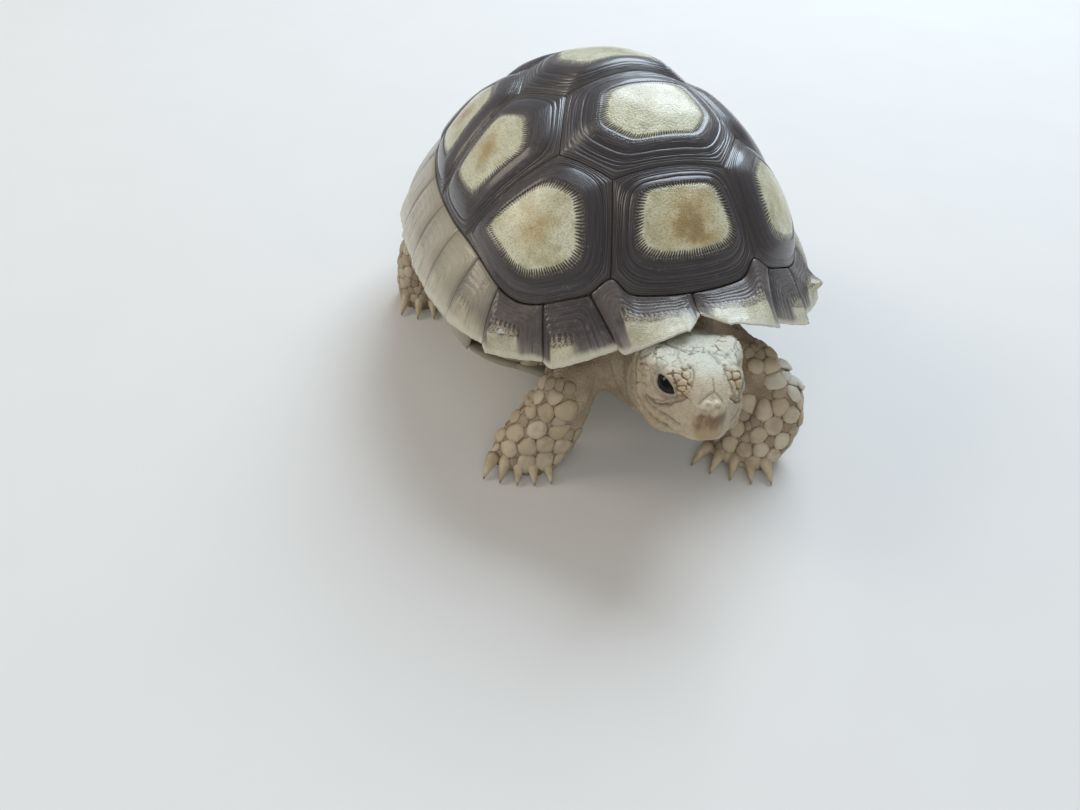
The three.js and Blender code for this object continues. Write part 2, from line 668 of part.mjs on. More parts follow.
function tailSolid(trunk) {
  const stations = [
    { at: [0, 36.5, 1.2], across: 4.4, through: 3.8 },
    { at: [0.2, 42, -0.4], across: 3.7, through: 3.2 },
    { at: [1, 46.4, -3.4], across: 2.5, through: 2.2 },
    { at: [2.4, 48.6, -7.4], across: 1, through: 0.9 },
  ];
  return toSolid(limbGeometry(stations, { facing: [0, -0.2, 1], steps: 7, count: 12, domeEnd: 0.6 })).subtract(trunk);
}

function eyeGeometry(sign) {
  const ball = new THREE.SphereGeometry(eye.radius, 14, 9);
  ball.translate(sign * eye.at[0], eye.at[1], eye.at[2]);
  return ball.applyMatrix4(headPlace);
}

function addFlesh() {
  const trunkCutter = toSolid(trunkGeometry(gap));
  const floorBlock = new THREE.BoxGeometry(200, 200, 20).translate(0, 0, -standHeight - 10);
  const floor = toSolid(floorBlock);
  addPiece('trunk', trunkGeometry(), finish.skin);
  const legCutters = [];
  for (const [name, leg] of Object.entries(legs)) {
    addPiece(name, toGeometry(legSolid(leg, trunkCutter, floor)), finish.skin);
    if (name.startsWith('front')) {
      legCutters.push(toSolid(limbGeometry(leg.stations, { facing: leg.facing, steps: 10, grow: gap })));
    }
  }
  addPiece('head', toGeometry(headSolid()).applyMatrix4(headPlace), finish.head);
  addPiece('neck', toGeometry(neckSolid(trunkCutter, legCutters)), finish.skin);
  addPiece('tail', toGeometry(tailSolid(trunkCutter)), finish.skin);
  addPiece('eye_left', eyeGeometry(1), finish.eye);
  addPiece('eye_right', eyeGeometry(-1), finish.eye);
}

addVertebrals();
addCostals();
addMarginals();
addPlastron();
addFlesh();

// the whole animal stands on the floor over its own middle
const placed = new THREE.Box3().setFromObject(tortoise);
const middle = placed.getCenter(vec(0, 0, 0));
tortoise.position.set(-middle.x, -middle.y, standHeight);
const exported = new THREE.Group();
exported.add(tortoise);

export default exported;
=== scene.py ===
import math
import random

import bmesh
import bpy
import numpy as np
from mathutils import Matrix, Vector
from mathutils.bvhtree import BVHTree


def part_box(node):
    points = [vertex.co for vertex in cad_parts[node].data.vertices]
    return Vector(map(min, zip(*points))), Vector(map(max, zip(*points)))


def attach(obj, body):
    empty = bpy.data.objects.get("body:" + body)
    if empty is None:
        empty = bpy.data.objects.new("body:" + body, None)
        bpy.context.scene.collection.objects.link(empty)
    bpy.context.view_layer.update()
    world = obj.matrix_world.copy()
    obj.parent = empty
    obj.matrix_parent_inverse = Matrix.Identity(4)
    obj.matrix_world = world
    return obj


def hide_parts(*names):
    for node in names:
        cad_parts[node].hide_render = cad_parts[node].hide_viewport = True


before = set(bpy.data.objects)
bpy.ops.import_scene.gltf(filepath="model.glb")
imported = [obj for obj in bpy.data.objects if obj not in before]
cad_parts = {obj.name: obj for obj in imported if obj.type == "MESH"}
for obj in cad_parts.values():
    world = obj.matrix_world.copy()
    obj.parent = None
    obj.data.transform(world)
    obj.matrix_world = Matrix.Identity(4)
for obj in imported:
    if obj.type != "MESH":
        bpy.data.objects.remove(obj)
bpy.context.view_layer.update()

# Shapes are worked out in millimetres, in the shell's own frame, and placed with toWorld.
mm = 0.001
rearTip = 53.5  # the rear of the shell in its own frame
trunkSole = -3.5  # the lowest level of the trunk there
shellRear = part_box("supracaudal")[1].y / mm
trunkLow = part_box("trunk")[0].z / mm
shellShift = np.array([0.0, shellRear - rearTip, trunkLow - trunkSole])


def toWorld(points):
    return (np.asarray(points) + shellShift) * mm


def toShell(points):
    return np.asarray(points) / mm - shellShift


def smoothStep(value, low, high):
    share = np.clip((value - low) / (high - low), 0, 1)
    return share * share * (3 - 2 * share)


def blend(a, b, share):
    return a + (b - a) * share


def unit(vectors):
    vectors = np.asarray(vectors, float)
    return vectors / np.maximum(np.linalg.norm(vectors, axis=-1, keepdims=True), 1e-12)


def newMaterial(name):
    material = bpy.data.materials.new(name)
    material.use_nodes = True
    return material, material.node_tree


def addNode(tree, kind, sockets=None, **settings):
    made = tree.nodes.new(kind)
    for key, value in settings.items():
        setattr(made, key, value)
    for key, value in (sockets or {}).items():
        if isinstance(value, bpy.types.NodeSocket):
            tree.links.new(value, made.inputs[key])
        else:
            made.inputs[key].default_value = value
    return made


def calc(tree, operation, a, b=0.0):
    return addNode(tree, "ShaderNodeMath", {0: a, 1: b}, operation=operation).outputs[0]


def times(tree, a, b):
    return calc(tree, "MULTIPLY", a, b)


def plus(tree, a, b):
    return calc(tree, "ADD", a, b)


def minus(tree, a, b):
    return calc(tree, "SUBTRACT", a, b)


def wavering(tree, value, strength):
    # a noise's value about 0, at a strength
    return times(tree, minus(tree, value, 0.5), strength)


def attribute(tree, name):
    return addNode(tree, "ShaderNodeAttribute", attribute_name=name).outputs["Fac"]


def attributes(tree, *names):
    return [attribute(tree, name) for name in names]


def noise(tree, vector, scale, detail=3.0, roughness=0.55):
    settings = {"Vector": vector, "Scale": scale, "Detail": detail, "Roughness": roughness}
    return addNode(tree, "ShaderNodeTexNoise", settings).outputs["Fac"]


def cells(tree, vector, scale, feature="F1"):
    settings = {"Vector": vector, "Scale": scale}
    return addNode(tree, "ShaderNodeTexVoronoi", settings, feature=feature).outputs["Distance"]


def ramp(tree, value, stops):
    made = addNode(tree, "ShaderNodeValToRGB", {"Fac": value})
    points = made.color_ramp.elements
    while len(points) < len(stops):
        points.new(0.5)
    for point, (place, color) in zip(points, stops):
        point.position = place
        point.color = (*color, 1)
    return made.outputs["Color"]


def level(tree, value, low, high):
    # 0 at low and 1 at high
    sockets = {"Value": value, "From Min": low, "From Max": high}
    made = addNode(tree, "ShaderNodeMapRange", sockets, interpolation_type="SMOOTHSTEP")
    return made.outputs["Result"]


def mixColor(tree, share, a, b):
    made = addNode(tree, "ShaderNodeMix", data_type="RGBA")
    for socket, value in ((made.inputs[0], share), (made.inputs[6], a), (made.inputs[7], b)):
        if isinstance(value, bpy.types.NodeSocket):
            tree.links.new(value, socket)
        else:
            socket.default_value = value if isinstance(value, float) else (*value, 1)
    return made.outputs[2]


def tint(tree, share, strength, base, over):
    # the base with some of another color over it
    return mixColor(tree, times(tree, share, strength), base, over)


def bump(tree, height, strength):
    sockets = {"Height": height, "Strength": strength, "Distance": 1.0}
    return addNode(tree, "ShaderNodeBump", sockets).outputs["Normal"]


def shade(tree, **sockets):
    shader = tree.nodes["Principled BSDF"]
    for key, value in sockets.items():
        socket = shader.inputs[key.replace("_", " ")]
        if isinstance(value, bpy.types.NodeSocket):
            tree.links.new(value, socket)
        else:
            socket.default_value = value


def newMesh(bm, name):
    mesh = bpy.data.meshes.new(name)
    bm.to_mesh(mesh)
    bm.free()
    return mesh


def addObject(name, data):
    made = bpy.data.objects.new(name, data)
    bpy.context.scene.collection.objects.link(made)
    return made


def finishPiece(mesh, name, material, nodes=()):
    mesh.name = name
    mesh.materials.clear()
    mesh.materials.append(material)
    mesh.polygons.foreach_set("use_smooth", [True] * len(mesh.polygons))
    piece = addObject(name, mesh)
    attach(piece, "root")
    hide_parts(*nodes)
    return piece


def readPoints(mesh):
    points = np.zeros(len(mesh.vertices) * 3, np.float32)
    mesh.vertices.foreach_get("co", points)
    return points.reshape(-1, 3).astype(float)


def readNormals(mesh):
    normals = np.zeros(len(mesh.vertices) * 3, np.float32)
    mesh.vertices.foreach_get("normal", normals)
    return normals.reshape(-1, 3).astype(float)


def writePoints(mesh, points):
    mesh.vertices.foreach_set("co", np.asarray(points, np.float32).ravel())
    mesh.update()


def writeAttribute(mesh, name, values):
    layer = mesh.attributes.get(name) or mesh.attributes.new(name, "FLOAT", "POINT")
    layer.data.foreach_set("value", np.asarray(values, np.float32))


def wrappedSheet(columns, rows, mapName, place):
    # a grid bent round until its sides meet and both its ends close on a point;
    # place gets each vertex's column and row and gives its point in mm and its attributes
    bm = bmesh.new()
    bm.loops.layers.uv.new(mapName)
    bmesh.ops.create_grid(bm, x_segments=columns, y_segments=rows, size=0.5, calc_uvs=True)
    mesh = newMesh(bm, mapName)
    flat = readPoints(mesh)
    column = np.rint((flat[:, 0] + 0.5) * columns).astype(int)
    row = np.rint((flat[:, 1] + 0.5) * rows).astype(int)
    points, values = place(column, row)
    writePoints(mesh, toWorld(points))
    for key, value in values.items():
        writeAttribute(mesh, key, value)
    bm = bmesh.new()
    bm.from_mesh(mesh)
    bmesh.ops.remove_doubles(bm, verts=bm.verts, dist=1e-7)
    bmesh.ops.recalc_face_normals(bm, faces=bm.faces)
    bm.to_mesh(mesh)
    bm.free()
    return mesh


# the surface of the shell
dome = {
    "side": 34.7,
    "front": 36.8,
    "rear": 51.2,
    "height": 40.9,
    "planPower": 2.23,
    "wallPower": 1.735,
    "reach": 1.431,  # how far the map's radius swings down, in radians
}
plateThickness = 1.4


def domeLength(y):
    return np.where(y < 0, dome["front"], dome["rear"])


def domePoint(place):
    # the map runs u to the left and v to the rear, with the apex at 0 and the rim near radius 0.8
    swing = np.hypot(place[:, 0], place[:, 1]) * dome["reach"]
    turn = np.arctan2(place[:, 1], place[:, 0])
    x, y, z = np.sin(swing) * np.cos(turn), np.sin(swing) * np.sin(turn), np.cos(swing)
    p, q = dome["planPower"], dome["wallPower"]
    plan = np.abs(x) ** p + np.abs(y) ** p
    size = (plan ** (q / p) + z**q) ** (-1 / q)
    return np.stack([x * dome["side"], y * domeLength(y), z * dome["height"]], axis=1) * size[:, None]


def domeNormal(points):
    length = domeLength(points[:, 1])
    x, y, z = points[:, 0] / dome["side"], points[:, 1] / length, points[:, 2] / dome["height"]
    p, q = dome["planPower"], dome["wallPower"]
    share = np.maximum(np.abs(x) ** p + np.abs(y) ** p, 1e-9) ** (q / p - 1)
    across = share * np.abs(x) ** (p - 1) * np.sign(x) / dome["side"]
    along = share * np.abs(y) ** (p - 1) * np.sign(y) / length
    return unit(np.stack([across, along, np.abs(z) ** (q - 1) / dome["height"]], axis=1))


def topEdge(angle):
    # where the dome's plates meet the marginals, on the map, by degrees round from the front
    turn = np.abs(angle)
    radius = 0.752 + 0.08 * np.exp(-(((turn - 50) / 15) ** 2)) - 0.045 * np.exp(-(((turn - 25) / 4) ** 2))
    return np.stack([radius * np.sin(np.radians(angle)), -radius * np.cos(np.radians(angle))], axis=-1)


def edgeRun(first, last):
    return topEdge(np.linspace(first, last, 2 + int(abs(last - first) / 2)))


# growth rings: level 0 is the seam, 1 the border of the hatchling's plate, 2 its middle
growth = {
    "columns": 168,
    "bandRows": 58,
    "areolaRows": 10,
    "seamShare": 0.002,  # the first level, which leaves a hair of a gap at the seam
    "seamDip": 0.2,
    "seamWidth": 0.03,
    "ringShift": 0.03,
    "ridge": 0.24,
    "groove": 0.07,
    "areolaStep": 0.1,
    "cornerEase": 60,  # smoothing passes that round the rings' corners
}
# where each kind of plate has its growth rings
vertebralRings = [0.05, 0.1, 0.16, 0.23, 0.31, 0.42, 0.58, 1.0]
costalRings = [0.045, 0.09, 0.14, 0.2, 0.28, 1.0]
plastronRings = [0.12, 0.3, 0.55, 1.0]


def waves(column, columns, dice, strength):
    # a smooth wander round a plate, the same where the plate's outline closes
    turn = column / columns * 2 * math.pi
    return sum(strength / k * np.sin(k * turn + dice.uniform(0, 6.28)) for k in (2, 3, 5, 7, 11))


def ringRelief(ring, edges):
    # low rounded ridges between the ring edges, and how deep in an edge's groove each point is, which the
    # materials darken as painted shade
    ridges = np.zeros_like(ring)
    for low, high in zip([0, *edges], edges):
        share = np.clip((ring - low) / (high - low), 0, 1)
        ridges += growth["ridge"] * (high - low) ** 0.35 * (1 - (2 * share - 1) ** 2) ** 0.6
    groove = sum(np.exp(-(((ring - edge) / 0.015) ** 2)) for edge in edges)
    return ridges - growth["groove"] * groove, np.clip(groove, 0, 1)


def dividedOutline(sides, columns):
    # points along the sides, with one at every corner
    lengths = [np.linalg.norm(np.diff(side, axis=0), axis=1).sum() for side in sides]
    ends = np.rint(np.cumsum(lengths) / sum(lengths) * columns).astype(int)
    points = []
    for side, count in zip(sides, np.diff([0, *ends])):
        along = np.r_[0, np.cumsum(np.linalg.norm(np.diff(side, axis=0), axis=1))]
        at = np.linspace(0, along[-1], count, endpoint=False)
        points.append(np.stack([np.interp(at, along, side[:, k]) for k in (0, 1)], axis=1))
    return np.concatenate(points)


def roundedRing(ring, passes):
    for _ in range(passes):
        ring = (np.roll(ring, 1, axis=0) + 2 * ring + np.roll(ring, -1, axis=0)) / 4
    return ring


def plateMesh(sides, centre, areolaSize, rise, surface, normal, thickness, rings, spot, seed):
    dice = random.Random(seed)
    columns = growth["columns"]
    border = dividedOutline(sides, columns)
    inner = roundedRing(centre + (border - centre) * areolaSize, 30)
    inner = centre + (inner - centre) * (1 + waves(np.arange(columns), columns, dice, 0.012))[:, None]
    eased = roundedRing(border, growth["cornerEase"])
    reach = np.linalg.norm(inner - centre, axis=1).mean()
    edges = [edge * dice.uniform(0.9, 1.12) for edge in rings[:-1]] + rings[-1:]
    first = growth["seamShare"]
    band = np.linspace(0, 1, growth["bandRows"]) ** 1.3 * (1 - first) + first
    areolaBand = np.linspace(1, 2, growth["areolaRows"] + 1)[1:]
    under = [2, 1, first]
    levels = np.r_[under, band, areolaBand]

    def place(column, row):
        ring = levels[row]
        hidden = row < len(under)
        easing = smoothStep(ring, 0.02, 0.3)[:, None]
        onBorder = blend(border[column % columns], eased[column % columns], easing)
        onInner = inner[column % columns]
        outer = blend(onBorder, onInner, np.minimum(ring, 1)[:, None])
        at = blend(outer, np.asarray(centre), np.clip(ring - 1, 0, 1)[:, None])
        foot = surface(at)
        drift = waves(column, columns, random.Random(seed + 7), growth["ringShift"])
        moved = ring + drift * np.clip(ring * 4, 0, 1) * np.clip((1 - ring) * 5, 0, 1)
        relief, groove = ringRelief(moved, edges)
        height = rise * np.interp(ring, [0, 0.5, 1, 2], [-0.16, 0.3, 0.66, 0.78]) + relief
        height -= growth["seamDip"] * np.exp(-((ring / growth["seamWidth"]) ** 2))
        height += growth["areolaStep"] * smoothStep(ring, 0.985, 1.05)
        height = np.where(hidden, -thickness, height)
        # the seam joins the grooves that the materials darken with painted shade
        groove = np.maximum(groove, 0.75 * np.exp(-((ring / 0.02) ** 2)))
        spotAway = np.linalg.norm(at - centre - reach * np.array(spot["at"]), axis=1)
        spotAway /= reach * spot["size"]
        values = {
            "ring": np.where(hidden, 0, ring),
            "groove": np.where(hidden, 1, groove),
            "spot": spot["strength"] * np.exp(-(spotAway**2)) * smoothStep(ring, 1.05, 1.3),
        }
        return foot + normal(foot) * height[:, None], values

    mesh = wrappedSheet(columns, len(levels) - 1, "plateMap", place)
    around = np.linalg.norm(np.diff(surface(np.vstack([border, border[:1]])), axis=0), axis=1).sum()
    scaleMap(mesh, around)
    return mesh


def scaleMap(mesh, around):
    # u runs round the plate in millimetres, and v keeps the share of the way in
    layer = mesh.uv_layers["plateMap"].uv
    flat = np.zeros(len(layer) * 2, np.float32)
    layer.foreach_get("vector", flat)
    flat[::2] *= around
    layer.foreach_set("vector", flat)


# where the seams of the dome's plates meet, on the map
carapaceSeams = {
    "v1v2": (0.209, -0.389),
    "v2Side": (0.336, -0.232),
    "v2v3": (0.227, -0.023),
    "v3Side": (0.33, 0.131),
    "v3v4": (0.215, 0.275),
    "v4Side": (0.31, 0.405),
    "v4v5": (0.19, 0.52),
}
costalAngles = (25, 76.6, 98, 121, 148)  # where the costals' cross seams meet the marginals
spots = {
    "golden": {"at": (0.12, -0.32), "size": 0.72, "strength": 1.0},
    "faint": {"at": (0.0, 0.1), "size": 0.35, "strength": 0.3},
    "olive": {"at": (0.0, 0.0), "size": 0.42, "strength": 0.75},
}
vertebrals = [
    {"centre": (0, -0.525), "areola": (0.66, 0.56), "rise": 1.1, "spot": "golden"},
    {"centre": (0, -0.212), "areola": (0.57, 0.53), "rise": 1.3, "spot": "faint"},
    {"centre": (0, 0.135), "areola": (0.56, 0.64), "rise": 1.2, "spot": "faint"},
    {"centre": (0, 0.41), "areola": (0.56, 0.6), "rise": 1.1, "spot": "olive"},
    {"centre": (0, 0.655), "areola": (0.6, 0.56), "rise": 0.9, "spot": "olive"},
]
costals = [
    {"centre": (0.492, -0.395), "areola": (0.61, 0.64), "rise": 1.2, "spot": "olive"},
    {"centre": (0.515, 0.0), "areola": (0.57, 0.64), "rise": 1.2, "spot": "olive"},
    {"centre": (0.5, 0.29), "areola": (0.58, 0.6), "rise": 1.1, "spot": "olive"},
    {"centre": (0.45, 0.53), "areola": (0.58, 0.58), "rise": 0.9, "spot": "olive"},
]


def vertebralSides():
    corner = {key: np.array(value) for key, value in carapaceSeams.items()}
    flip = np.array([-1, 1])
    front, rear = costalAngles[0], costalAngles[-1]
    names = list(carapaceSeams)
    a, b = corner["v1v2"], corner["v4v5"]
    first, last = np.array([a, topEdge(front)]), np.array([b, topEdge(rear)])
    yield [np.array([a * flip, a]), first, edgeRun(front, -front), first[::-1] * flip]
    for k in (0, 2, 4):
        start, side, end = (corner[names[k + step]] for step in range(3))
        right = [start * flip, side * flip, end * flip]
        points = [start, side, end, *right[::-1], start]
        yield [np.array(points[i : i + 2]) for i in range(6)]
    yield [last, edgeRun(rear, 360 - rear), last[::-1] * flip, np.array([b * flip, b])]


def costalSides():
    corner = {key: np.array(value) for key, value in carapaceSeams.items()}
    names = list(carapaceSeams)
    chain = [names[:2], names[1:4], names[3:6], names[5:]]
    for inner, low, high in zip(chain, costalAngles, costalAngles[1:]):
        points = [corner[name] for name in inner]
        inside = [np.array(pair) for pair in zip(points, points[1:])]
        behind, before = np.array([points[-1], topEdge(high)]), np.array([topEdge(low), points[0]])
        yield [*inside, behind, edgeRun(high, low), before]


def makeCarapace(material):
    def add(name, sides, plate, side, rings, seed):
        turn = np.array([side, 1])
        spot = spots[plate["spot"]]
        mesh = plateMesh(
            [points * turn for points in sides],
            np.array(plate["centre"]) * turn,
            plate["areola"],
            plate["rise"],
            domePoint,
            domeNormal,
            plateThickness,
            rings,
            spot,
            seed,
        )
        finishPiece(mesh, name + "_plate", material, [name])

    for i, (sides, plate) in enumerate(zip(vertebralSides(), vertebrals)):
        add(f"vertebral_{i + 1}", sides, plate, 1, vertebralRings, 10 + i)
    for i, (sides, plate) in enumerate(zip(costalSides(), costals)):
        add(f"costal_left_{i + 1}", sides, plate, 1, costalRings, 20 + i)
        add(f"costal_right_{i + 1}", sides, plate, -1, costalRings, 30 + i)
    print("carapace plates")


# the free edge of the shell, which the marginals turn over
rim = {
    "side": 34.8,
    "front": 37.2,
    "rear": 52.6,
    "planPower": 2.3,
    "level": 8,
    "lift": 9,
    "liftWidth": 19,
    "drop": 3.6,
    "edge": 0.42,
    "notch": 3,
}
bridge = {"from": 60, "full": 72, "fade": 104, "to": 111, "x": 29.3, "z": -1.3}

# each marginal's rear seam on the top edge and at the rim, in degrees, how far its corner stands out,
# how much of its height and width the top, front and rear growth bands take, and how dark its horn is
marginals = [
    {"topEnd": 30.5, "rimEnd": 22, "tooth": 1.3, "top": 0.42, "front": 0.14, "rear": 0.14, "dark": 0.72},
    {"topEnd": 42.5, "rimEnd": 39, "tooth": 1.5, "top": 0.52, "front": 0.5, "rear": 0.14, "dark": 0.85},
    {"topEnd": 56.7, "rimEnd": 55.5, "tooth": 1.3, "top": 0.42, "front": 0.36, "rear": 0.16, "dark": 0.7},
    {"topEnd": 67, "rimEnd": 70, "tooth": 0.4, "top": 0.55, "front": 0.45, "rear": 0.12, "dark": 0.3},
    {"topEnd": 81, "rimEnd": 83.5, "tooth": 0.3, "top": 0.6, "front": 0.5, "rear": 0.15, "dark": 0.2},
    {"topEnd": 95, "rimEnd": 95.5, "tooth": 0.3, "top": 0.6, "front": 0.5, "rear": 0.15, "dark": 0.18},
    {"topEnd": 108, "rimEnd": 108, "tooth": 0.4, "top": 0.6, "front": 0.5, "rear": 0.15, "dark": 0.18},
    {"topEnd": 121, "rimEnd": 120.5, "tooth": 0.7, "top": 0.55, "front": 0.5, "rear": 0.15, "dark": 0.2},
    {"topEnd": 134, "rimEnd": 133.5, "tooth": 1, "top": 0.5, "front": 0.5, "rear": 0.15, "dark": 0.25},
    {"topEnd": 148, "rimEnd": 147, "tooth": 1.1, "top": 0.5, "front": 0.5, "rear": 0.15, "dark": 0.3},
    {"topEnd": 164, "rimEnd": 163, "tooth": 1.1, "top": 0.5, "front": 0.5, "rear": 0.15, "dark": 0.35},
]
tailPlate = {"tooth": 0.9, "top": 0.5, "front": 0.25, "rear": 0.25, "dark": 0.4}
# the rounded bump on the third marginal of each side, in shares of the plate
marginalBump = {"plate": 2, "at": (0.68, 0.64), "wide": 0.17, "high": 0.11, "rise": 1.7}
marginalGrid = {
    "columns": 54,
    "faceRows": 46,
    "turnRows": 24,
    "seamGap": 0.09,  # degrees at each side
    "rings": [0.08, 0.17, 0.28, 0.42, 0.6, 0.8, 1.0],
    "seamDip": 0.15,
}


def rimPoint(angle, out):
    x, y = np.sin(np.radians(angle)), -np.cos(np.radians(angle))
    size = (np.abs(x) ** rim["planPower"] + np.abs(y) ** rim["planPower"]) ** (-1 / rim["planPower"])
    length = np.where(y < 0, rim["front"], rim["rear"])
    away = unit(np.stack([x / rim["side"], y / length, np.zeros_like(x)], axis=1))
    points = np.stack([x * size * rim["side"], y * size * length, np.full_like(x, rim["level"])], axis=1)
    points += away * out[:, None]
    raised = rim["lift"] * np.exp(-((np.abs(points[:, 0]) / rim["liftWidth"]) ** 2.5))
    points[:, 2] += np.where(y < 0, raised, -rim["drop"] * smoothStep(points[:, 1], 6, 40))
    return points, away


def toothHeight(index, share, height):
    rising, falling = np.minimum(share / 0.84, 1), np.maximum(1 - share, 0) / 0.16
    corner = np.where(share < 0.84, rising**1.5, falling**0.8)
    if index is None:
        return height * (1 - (2 * share - 1) ** 2)
    if index > 0:
        return height * corner
    rise = blend(0.4, 1, (share - 0.26) / 0.56) * height * np.minimum(1, corner * 2)
    return np.where(share < 0.26, blend(-rim["notch"], 0.4 * height, share / 0.26), rise)


def marginalMesh(plate, index, first, last, side, seed):
    dice = random.Random(seed)
    gap = marginalGrid["seamGap"]
    columns = marginalGrid["columns"]
    faceRows, turnRows = marginalGrid["faceRows"], marginalGrid["turnRows"]
    shares = np.linspace(0, 1, columns - 1)
    topAngle = blend(first[0] + gap, last[0] - gap, shares)
    rimAngle = blend(first[1] + gap, last[1] - gap, shares)
    top = domePoint(topEdge(topAngle) * (1 + 0.0016))
    normal = domeNormal(top)
    serration = 0.05 * np.sin(shares * 23 + seed) + 0.03 * np.sin(shares * 59 + 2 * seed)
    out = toothHeight(index, shares, plate["tooth"]) + serration * np.minimum(1, 8 * (1 - shares))
    edge, away = rimPoint(rimAngle, out)
    flatten = np.abs(rimAngle)
    under = smoothStep(flatten, bridge["from"], bridge["full"])
    under *= 1 - smoothStep(flatten, bridge["fade"], bridge["to"])
    crown = blend(-0.3, 0.7, smoothStep(flatten, 20, 60))
    up = np.array([0, 0, 1.0])
    free = edge - away * 4.2 - up * 0.2
    turned = free.copy()
    turned[:, 0] = blend(free[:, 0], bridge["x"] * np.sign(edge[:, 0] + 1e-9), under)
    turned[:, 2] = blend(free[:, 2], bridge["z"], under)
    lower = edge - up * rim["edge"] - away * 0.25
    wall = blend(top, edge, 0.62) + normal * (crown * 4 * 0.62 * 0.38 - 1.25)[:, None]
    chain = [
        edge,
        edge - up * rim["edge"] * 0.5 + away * 0.12,
        lower,
        blend(lower, turned, 0.5) + away * (0.5 * under)[:, None],
        turned,
        turned + up * 1.1 - away * (0.15 * under)[:, None],
        blend(wall, edge - away * 2.7 + up * 0.2, under[:, None]),
        top - normal * plateThickness,
        top,
    ]
    middle = (top + edge + turned + chain[-2]) / 4
    phase = dice.uniform(0, 6.28)
    browned = smoothStep(plate["dark"], 0.15, 0.6)
    width = np.linalg.norm(edge[-1] - edge[0]) + np.linalg.norm(top[-1] - top[0])
    height = np.linalg.norm(edge - top, axis=1)

    def place(column, row):
        at = np.clip(column - 1, 0, columns - 2)
        face = np.clip(row / faceRows, 0, 1)
        arch = (crown[at] * 4 * face * (1 - face))[:, None] * normal[at]
        outside = blend(top[at], edge[at], face[:, None]) + arch
        around = np.clip((row - faceRows) / turnRows, 0, 1) * (len(chain) - 1)
        step = np.minimum(around.astype(int), len(chain) - 2)
        links = np.array(chain)
        turnedIn = blend(links[step, at], links[step + 1, at], (around - step)[:, None])
        onFace = row <= faceRows
        points = np.where(onFace[:, None], outside, turnedIn)
        share = shares[at]
        wander = 0.02 * np.sin(face * 6 + phase) + 0.015 * np.sin(share * 7 + 2 * phase)
        parts = [face / plate["top"], share / plate["front"], (1 - share) / plate["rear"]]
        ring = -np.log(sum(np.exp(-7 * np.minimum(part, 2)) for part in parts)) / 7
        ring = np.clip(ring + wander * np.clip(np.min(parts, axis=0) * 3, 0, 1), 0, 2)
        relief, groove = ringRelief(ring, marginalGrid["rings"])
        seamAway = np.min([face * height[at], share * width / 2, (1 - share) * width / 2], axis=0)
        relief *= blend(0.12, 1, plate["dark"])
        relief -= marginalGrid["seamDip"] * np.exp(-((seamAway / 0.24) ** 2))
        relief += 0.1 * smoothStep(ring, 0.97, 1.06)
        if index == marginalBump["plate"]:
            along, down = marginalBump["at"]
            bumpAway = ((face - down) / marginalBump["high"]) ** 2
            bumpAway += ((share - along) / marginalBump["wide"]) ** 2
            relief += marginalBump["rise"] * np.exp(-bumpAway)
            # a dark ring round the bump's foot: painted shade
            groove = np.maximum(groove, 0.7 * np.exp(-(((bumpAway - 2.2) / 0.7) ** 2)))
        relief *= 1 - smoothStep(face, 0.9, 1)
        points = points + normal[at] * np.where(onFace, relief, 0)[:, None]
        capped = (column == 0) | (column == columns)
        points = np.where(capped[:, None], middle[at], points)
        # the seam joins the grooves that the material darkens with painted shade
        groove = np.maximum(groove, 0.8 * np.exp(-((seamAway / 0.15) ** 2)))
        closing = row > faceRows + turnRows * 0.8
        stained = 1 - smoothStep(face, plate["top"] + 0.13, plate["top"] + 0.27)
        values = {
            "ring": np.where(onFace, ring, np.where(closing, 0, 2)),
            "groove": np.where(onFace & ~capped, groove * (1 - smoothStep(face, 0.86, 1)), closing),
            "toRim": np.where(onFace, face, np.where(closing, 0, 1)),
            "spot": np.where(onFace, browned * stained, 0),
            "dark": np.full(len(face), plate["dark"]),
            "inside": np.where(onFace | closing, 0, smoothStep(row, faceRows + 3, faceRows + 8)),
            # nearness to the seams between marginals, for the painted shade there
            "seamShade": np.exp(-((np.minimum(share, 1 - share) * width / 2) / 1.5) ** 2),
        }
        return points * [side, 1, 1], values

    mesh = wrappedSheet(columns, faceRows + turnRows, "plateMap", place)
    scaleMap(mesh, width / 2)
    return mesh


def makeMarginals(material):
    before = (0, 0)
    for i, plate in enumerate(marginals):
        after = (plate["topEnd"], plate["rimEnd"])
        for word, side in (("left", 1), ("right", -1)):
            mesh = marginalMesh(plate, i, before, after, side, 40 + 2 * i + (side < 0))
            name = f"marginal_{word}_{i + 1}"
            finishPiece(mesh, name + "_plate", material, [name])
        before = after
    mesh = marginalMesh(tailPlate, None, before, (360 - before[0], 360 - before[1]), 1, 70)
    finishPiece(mesh, "supracaudal_plate", material, ["supracaudal"])
    print("marginals")


# the flat of the belly, which turns up at the sides
plastron = {"level": -5.4, "flat": 19.5, "turn": 10.6, "rise": 4.8, "edge": 28.6, "thickness": 1.3}
plastronPlates = {
    "gular": [(0, -25.4), (3, -27.2), (5.8, -26.2), (7, -23.2), (0, -19.4)],
    "humeral": [(0, -19.4), (7, -23.2), (12, -21), (18, -16.6), (21.2, -13.6), (0, -9)],
    "pectoral": [(0, -9), (21.2, -13.6), (26.1, -11.8), (28.6, -10.5), (28.6, -5.2), (20, -3.6), (0, -5.4)],
    "abdominal": [(0, -5.4), (20, -3.6), (28.6, -5.2), (28.6, 13.5), (26.1, 15.6), (21.6, 17.6), (0, 13)],
    "femoral": [(0, 13), (21.4, 17.6), (19, 25), (16, 31.6), (0, 27)],
    "anal": [(0, 27), (16, 31.6), (12.6, 39.4), (7.6, 42), (0, 36.4)],
}


def plastronPoint(place):
    past = np.maximum(np.abs(place[:, 0]) - plastron["flat"], 0) / plastron["turn"]
    return np.column_stack([place, plastron["level"] + plastron["rise"] * past**2])


def plastronNormal(points):
    return np.tile([0.0, 0.0, -1.0], (len(points), 1))


